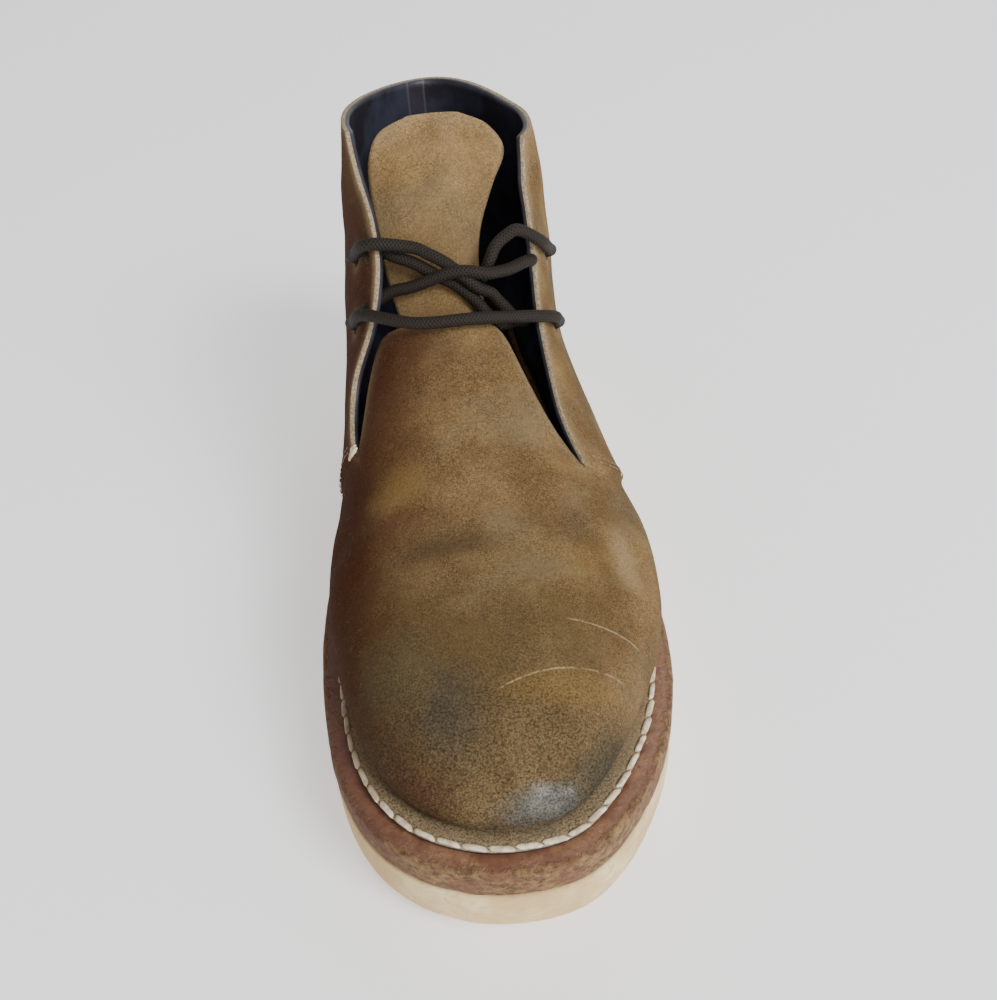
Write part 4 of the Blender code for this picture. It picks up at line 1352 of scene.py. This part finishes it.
def suede_look():
    look = Look("worn suede", 0.95, Specular_IOR_Level=0.10)
    colour = suede_nap(look, (0.300, 0.192, 0.088), (0.120, 0.072, 0.030))
    reaches = {}
    for name, middle, size, soft, wobble, lump, share, stain_or_light_colour in STAINS_AND_PAINTED_LIGHT:
        reach = look.spot([x * MM for x in middle], [x * MM for x in size], soft, wobble, lump * MM)
        # The painted highlight on the toe is broken up by noise.
        if name == "painted toe highlight":
            reach = look.times(reach, look.spread(look.noise(5 * MM, 2.0, 0.5), 0.30, 0.70))
        colour = stain_or_painted_light(look, colour, share, stain_or_light_colour, reach)
        reaches[name] = reach
    for name, full, share, stain_or_light_colour in EDGE_STAINS_AND_SHADE:
        reach = look.attribute(name)
        if full:
            reach = look.spread(reach, 0.0, full)
        colour = stain_or_painted_light(look, colour, share, stain_or_light_colour, reach)
    for centre, radius, low, high in SCRATCHES:
        line = look.arc_line(centre, radius, 0.40 * MM, low, high)
        broken = look.times(line, look.spread(look.noise(3 * MM), 0.30, 0.60))
        colour = stain_or_painted_light(look, colour, 0.75, (0.420, 0.310, 0.180), broken)
    look.colour(nap_grain(look, colour, reaches["toe"]))
    patchy = look.spread(look.noise(3 * MM), 0.3, 0.7, 0.6, 1.0)
    polish = look.times(reaches["blue"], patchy)
    look.roughness(look.spread(polish, 0.0, 1.0, 0.95, 0.72))
    return look.material


def tongue_look():
    look = Look("tongue suede", 0.95, Specular_IOR_Level=0.18)
    colour = suede_nap(look, (0.430, 0.282, 0.130), (0.205, 0.130, 0.058))
    colour = stain_or_painted_light(look, colour, 0.35, (0.420, 0.300, 0.170), look.attribute("rim"))
    # Painted shade on the tongue's lower part, under the laces and the facings.
    low = look.spot((2 * MM, 18 * MM, 106 * MM), (40 * MM, 34 * MM, 28 * MM), 0.7, 0.3, 10 * MM)
    colour = stain_or_painted_light(look, colour, 0.65, (0.150, 0.095, 0.042), low)
    look.colour(nap_grain(look, colour, 0.0))
    return look.material


def raw_edge_look():
    look = Look("raw suede edge", 0.95, Specular_IOR_Level=0.2)
    fibre = look.noise(0.7 * MM, 3.0)
    look.colour(look.mix(look.spread(fibre, 0.3, 0.7), (0.200, 0.145, 0.085), (0.460, 0.370, 0.245)))
    look.height((fibre, 0.2 * MM))
    return look.material


def lining_look():
    look = Look("dark lining leather", 0.46, Specular_IOR_Level=0.4)
    grain = look.noise(1.1 * MM, 3.0)
    wear = look.noise(16 * MM, 3.0)
    colour = look.mix(look.spread(wear, 0.4, 0.7), (0.021, 0.018, 0.024), (0.040, 0.044, 0.066))
    x, y = look.axes()
    from_strip = look.math("ABSOLUTE", look.math("ADD", x, 5 * MM))
    behind = look.spread(y, 0.06, 0.07)
    strip = look.times(look.spread(from_strip, 3.2 * MM, 2.8 * MM), behind)
    # A painted highlight along both edges of the back strip, which itself lies flat.
    outside = look.spread(from_strip, 3.6 * MM, 3.2 * MM)
    inside = look.spread(from_strip, 2.4 * MM, 2.9 * MM)
    edge = look.times(look.times(outside, inside), behind)
    colour = look.mix(look.times(strip, 0.6), colour, (0.040, 0.030, 0.042))
    look.colour(look.mix(look.times(edge, 0.5), colour, (0.110, 0.095, 0.120)))
    look.height((grain, 0.12 * MM))
    return look.material


def midsole_look():
    look = Look("stained sole leather", 0.5, Specular_IOR_Level=0.45)
    fibre = look.noise(2.6 * MM, 5.0, 0.78, (1, 1, 0.7))
    scuff = look.noise(5 * MM, 5.0, 0.72)
    red = look.mix(look.spread(scuff, 0.3, 0.7), (0.150, 0.062, 0.034), (0.320, 0.168, 0.092))
    grey = look.mix(look.spread(fibre, 0.35, 0.65), (0.078, 0.038, 0.016), (0.290, 0.170, 0.070))
    down = look.attribute("down")
    worn = look.spread(look.math("MULTIPLY_ADD", scuff, 0.9, down), 0.60, 0.82)
    nick = look.times(look.spread(look.noise(1.4 * MM, 3.0, 0.7), 0.60, 0.70), 0.6)
    red = look.mix(nick, red, (0.420, 0.260, 0.170))
    colour = look.mix(worn, red, grey)
    rusty = look.times(look.spread(look.noise(11 * MM, 3.0, 0.6), 0.50, 0.62), 0.55)
    colour = look.mix(rusty, colour, (0.150, 0.055, 0.030))
    # Painted shade: darker and redder over the inner side.
    inner = look.spot((-50 * MM, -90 * MM, 20 * MM), (34 * MM, 90 * MM, 40 * MM), 0.6, 0.3, 12 * MM)
    look.colour(stain_or_painted_light(look, colour, 0.62, (0.095, 0.026, 0.013), inner))
    look.roughness(look.spread(worn, 0.0, 1.0, 0.42, 0.85))
    look.height((look.times(fibre, worn), 0.7 * MM), (scuff, 0.25 * MM))
    return look.material


def rubber_look():
    look = Look("cream rubber", 0.62, Specular_IOR_Level=0.35)
    cloud = look.noise(18 * MM, 4.0, 0.6)
    speck = look.noise(2.2 * MM, 4.0, 0.7)
    colour = look.mix(look.spread(cloud, 0.3, 0.7), (0.600, 0.410, 0.185), (0.850, 0.680, 0.370))
    run = look.spread(look.noise(5 * MM, 3.0, 0.6, (1.0, 1.0, 0.15)), 0.50, 0.68, 0.0, 0.35)
    colour = look.mix(run, colour, (0.420, 0.285, 0.160))
    # Painted shade: darker and more yellow over the inner side.
    inner = look.spot((-52 * MM, -100 * MM, 8 * MM), (38 * MM, 80 * MM, 40 * MM), 0.7, 0.3, 12 * MM)
    colour = stain_or_painted_light(look, colour, 0.65, (0.480, 0.255, 0.085), inner)
    dirt = look.times(look.spread(speck, 0.56, 0.70), look.spread(cloud, 0.4, 0.6, 0.15, 0.5))
    colour = look.mix(dirt, colour, (0.260, 0.180, 0.110))
    under = look.times(look.spread(look.attribute("down"), 0.80, 1.0), 0.45)
    look.colour(look.mix(under, colour, (0.300, 0.230, 0.160)))
    look.height((speck, 0.08 * MM))
    return look.material


def cord_look():
    look = Look("waxed woven cord", 0.7, Specular_IOR_Level=0.3)
    look.places = look.node("TexCoord", {}).outputs["UV"]
    x, y = look.axes()
    round_turn = look.times(x, 2 * math.pi * 7)
    along = look.times(y, 2 * math.pi * 3.4)
    one = look.math("SINE", look.math("ADD", round_turn, along))
    other = look.math("SINE", look.math("SUBTRACT", round_turn, along))
    weave = look.math("MAXIMUM", one, other)
    look.colour(look.mix(look.spread(weave, -0.4, 1.0), (0.004, 0.0028, 0.002), (0.022, 0.014, 0.009)))
    look.height((weave, 0.09 * MM))
    return look.material


def thread_look(name="off-white thread", dark=(0.540, 0.420, 0.260), light=(0.900, 0.780, 0.570)):
    look = Look(name, 0.75)
    dirt = look.noise(2.6 * MM, 3.0)
    colour = look.mix(look.spread(dirt, 0.35, 0.65), dark, light)
    # Painted shade: darker over the inner side.
    inner = look.spot((-52 * MM, -85 * MM, 26 * MM), (30 * MM, 66 * MM, 40 * MM), 0.6, 0.3, 12 * MM)
    look.colour(stain_or_painted_light(look, colour, 0.70, (0.230, 0.150, 0.090), inner))
    twist = look.noise(0.5 * MM, 2.0)
    look.height((twist, 0.15 * MM))
    return look.material


def insole_look(insole):
    look = Look("insole sock", 0.8)
    grain = look.noise(1.2 * MM, 3.0)
    look.colour(look.mix(grain, (0.010, 0.010, 0.014), (0.030, 0.026, 0.026)))
    look.height((grain, 0.1 * MM))
    insole.data.materials.clear()
    insole.data.materials.append(look.material)


def floor_and_light():
    bpy.ops.mesh.primitive_plane_add(size=6.0)
    floor = bpy.context.object
    floor.name = "floor"
    plain = bpy.data.materials.new("pale floor")
    plain.use_nodes = True
    sockets = plain.node_tree.nodes["Principled BSDF"].inputs
    sockets["Base Color"].default_value = (0.94, 0.94, 0.94, 1)
    sockets["Roughness"].default_value = 0.9
    sockets["Emission Color"].default_value = (1, 1, 1, 1)
    sockets["Emission Strength"].default_value = FLOOR_GLOW
    floor.data.materials.append(plain)
    world = bpy.data.worlds.new("soft room")
    bpy.context.scene.world = world
    world.use_nodes = True
    sky = world.node_tree.nodes["Background"].inputs
    sky["Color"].default_value = (1, 1, 1, 1)
    sky["Strength"].default_value = ROOM_LIGHT
    for name, place, size, power in LAMPS:
        lamp = bpy.data.lights.new(name, "AREA")
        lamp.size = size
        lamp.energy = power
        item = bpy.data.objects.new(name, lamp)
        item.location = place
        item.rotation_mode = "QUATERNION"
        item.rotation_quaternion = (Vector((0, 0, 0.05)) - Vector(place)).to_track_quat("-Z", "Y")
        bpy.context.collection.objects.link(item)


def photo_camera():
    """The photograph's view of this boot, with the boot in the middle of the frame."""
    pitch, turn, roll = (math.radians(angle) for angle in CAMERA_ANGLES)
    ahead = Vector((math.sin(turn) * math.cos(pitch), math.cos(turn) * math.cos(pitch), -math.sin(pitch)))
    level = Vector((math.cos(turn), -math.sin(turn), 0.0))
    above = level.cross(ahead)
    right = math.cos(roll) * level + math.sin(roll) * above
    up = math.cos(roll) * above - math.sin(roll) * level
    lens = bpy.data.cameras.new("photo_camera")
    lens.sensor_width = SENSOR
    lens.lens = FOCAL_PIXELS / PHOTO_HEIGHT * SENSOR
    lens.shift_x, lens.shift_y = CAMERA_SHIFT
    lens.clip_start = 0.01
    camera = bpy.data.objects.new("photo_camera", lens)
    place = Vector(CAMERA_PLACE) + Vector((SIDE_SHIFT, 0, 0))
    camera.matrix_world = Matrix.Translation(place) @ Matrix((right, up, -ahead)).transposed().to_4x4()
    bpy.context.collection.objects.link(camera)
    bpy.context.scene.camera = camera


def main():
    bpy.ops.object.select_all(action="DESELECT")
    photo_camera()
    floor_and_light()
    suede, raw, lining = suede_look(), raw_edge_look(), lining_look()
    rubber, thread = rubber_look(), thread_look()
    build_upper((suede, raw, lining))
    build_tongue((tongue_look(), raw, lining))
    build_midsole(midsole_look())
    build_outsole(rubber)
    build_heel(rubber)
    build_flange_stitches(thread)
    build_seam_stitches(thread_look("brown thread", (0.120, 0.075, 0.034), (0.230, 0.150, 0.072)))
    build_throat_tack(thread)
    build_lace(cord_look())
    insole_look(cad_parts["insole"])
    for piece in shown_pieces:
        piece.data.transform(Matrix.Translation((SIDE_SHIFT, 0, 0)))


main()
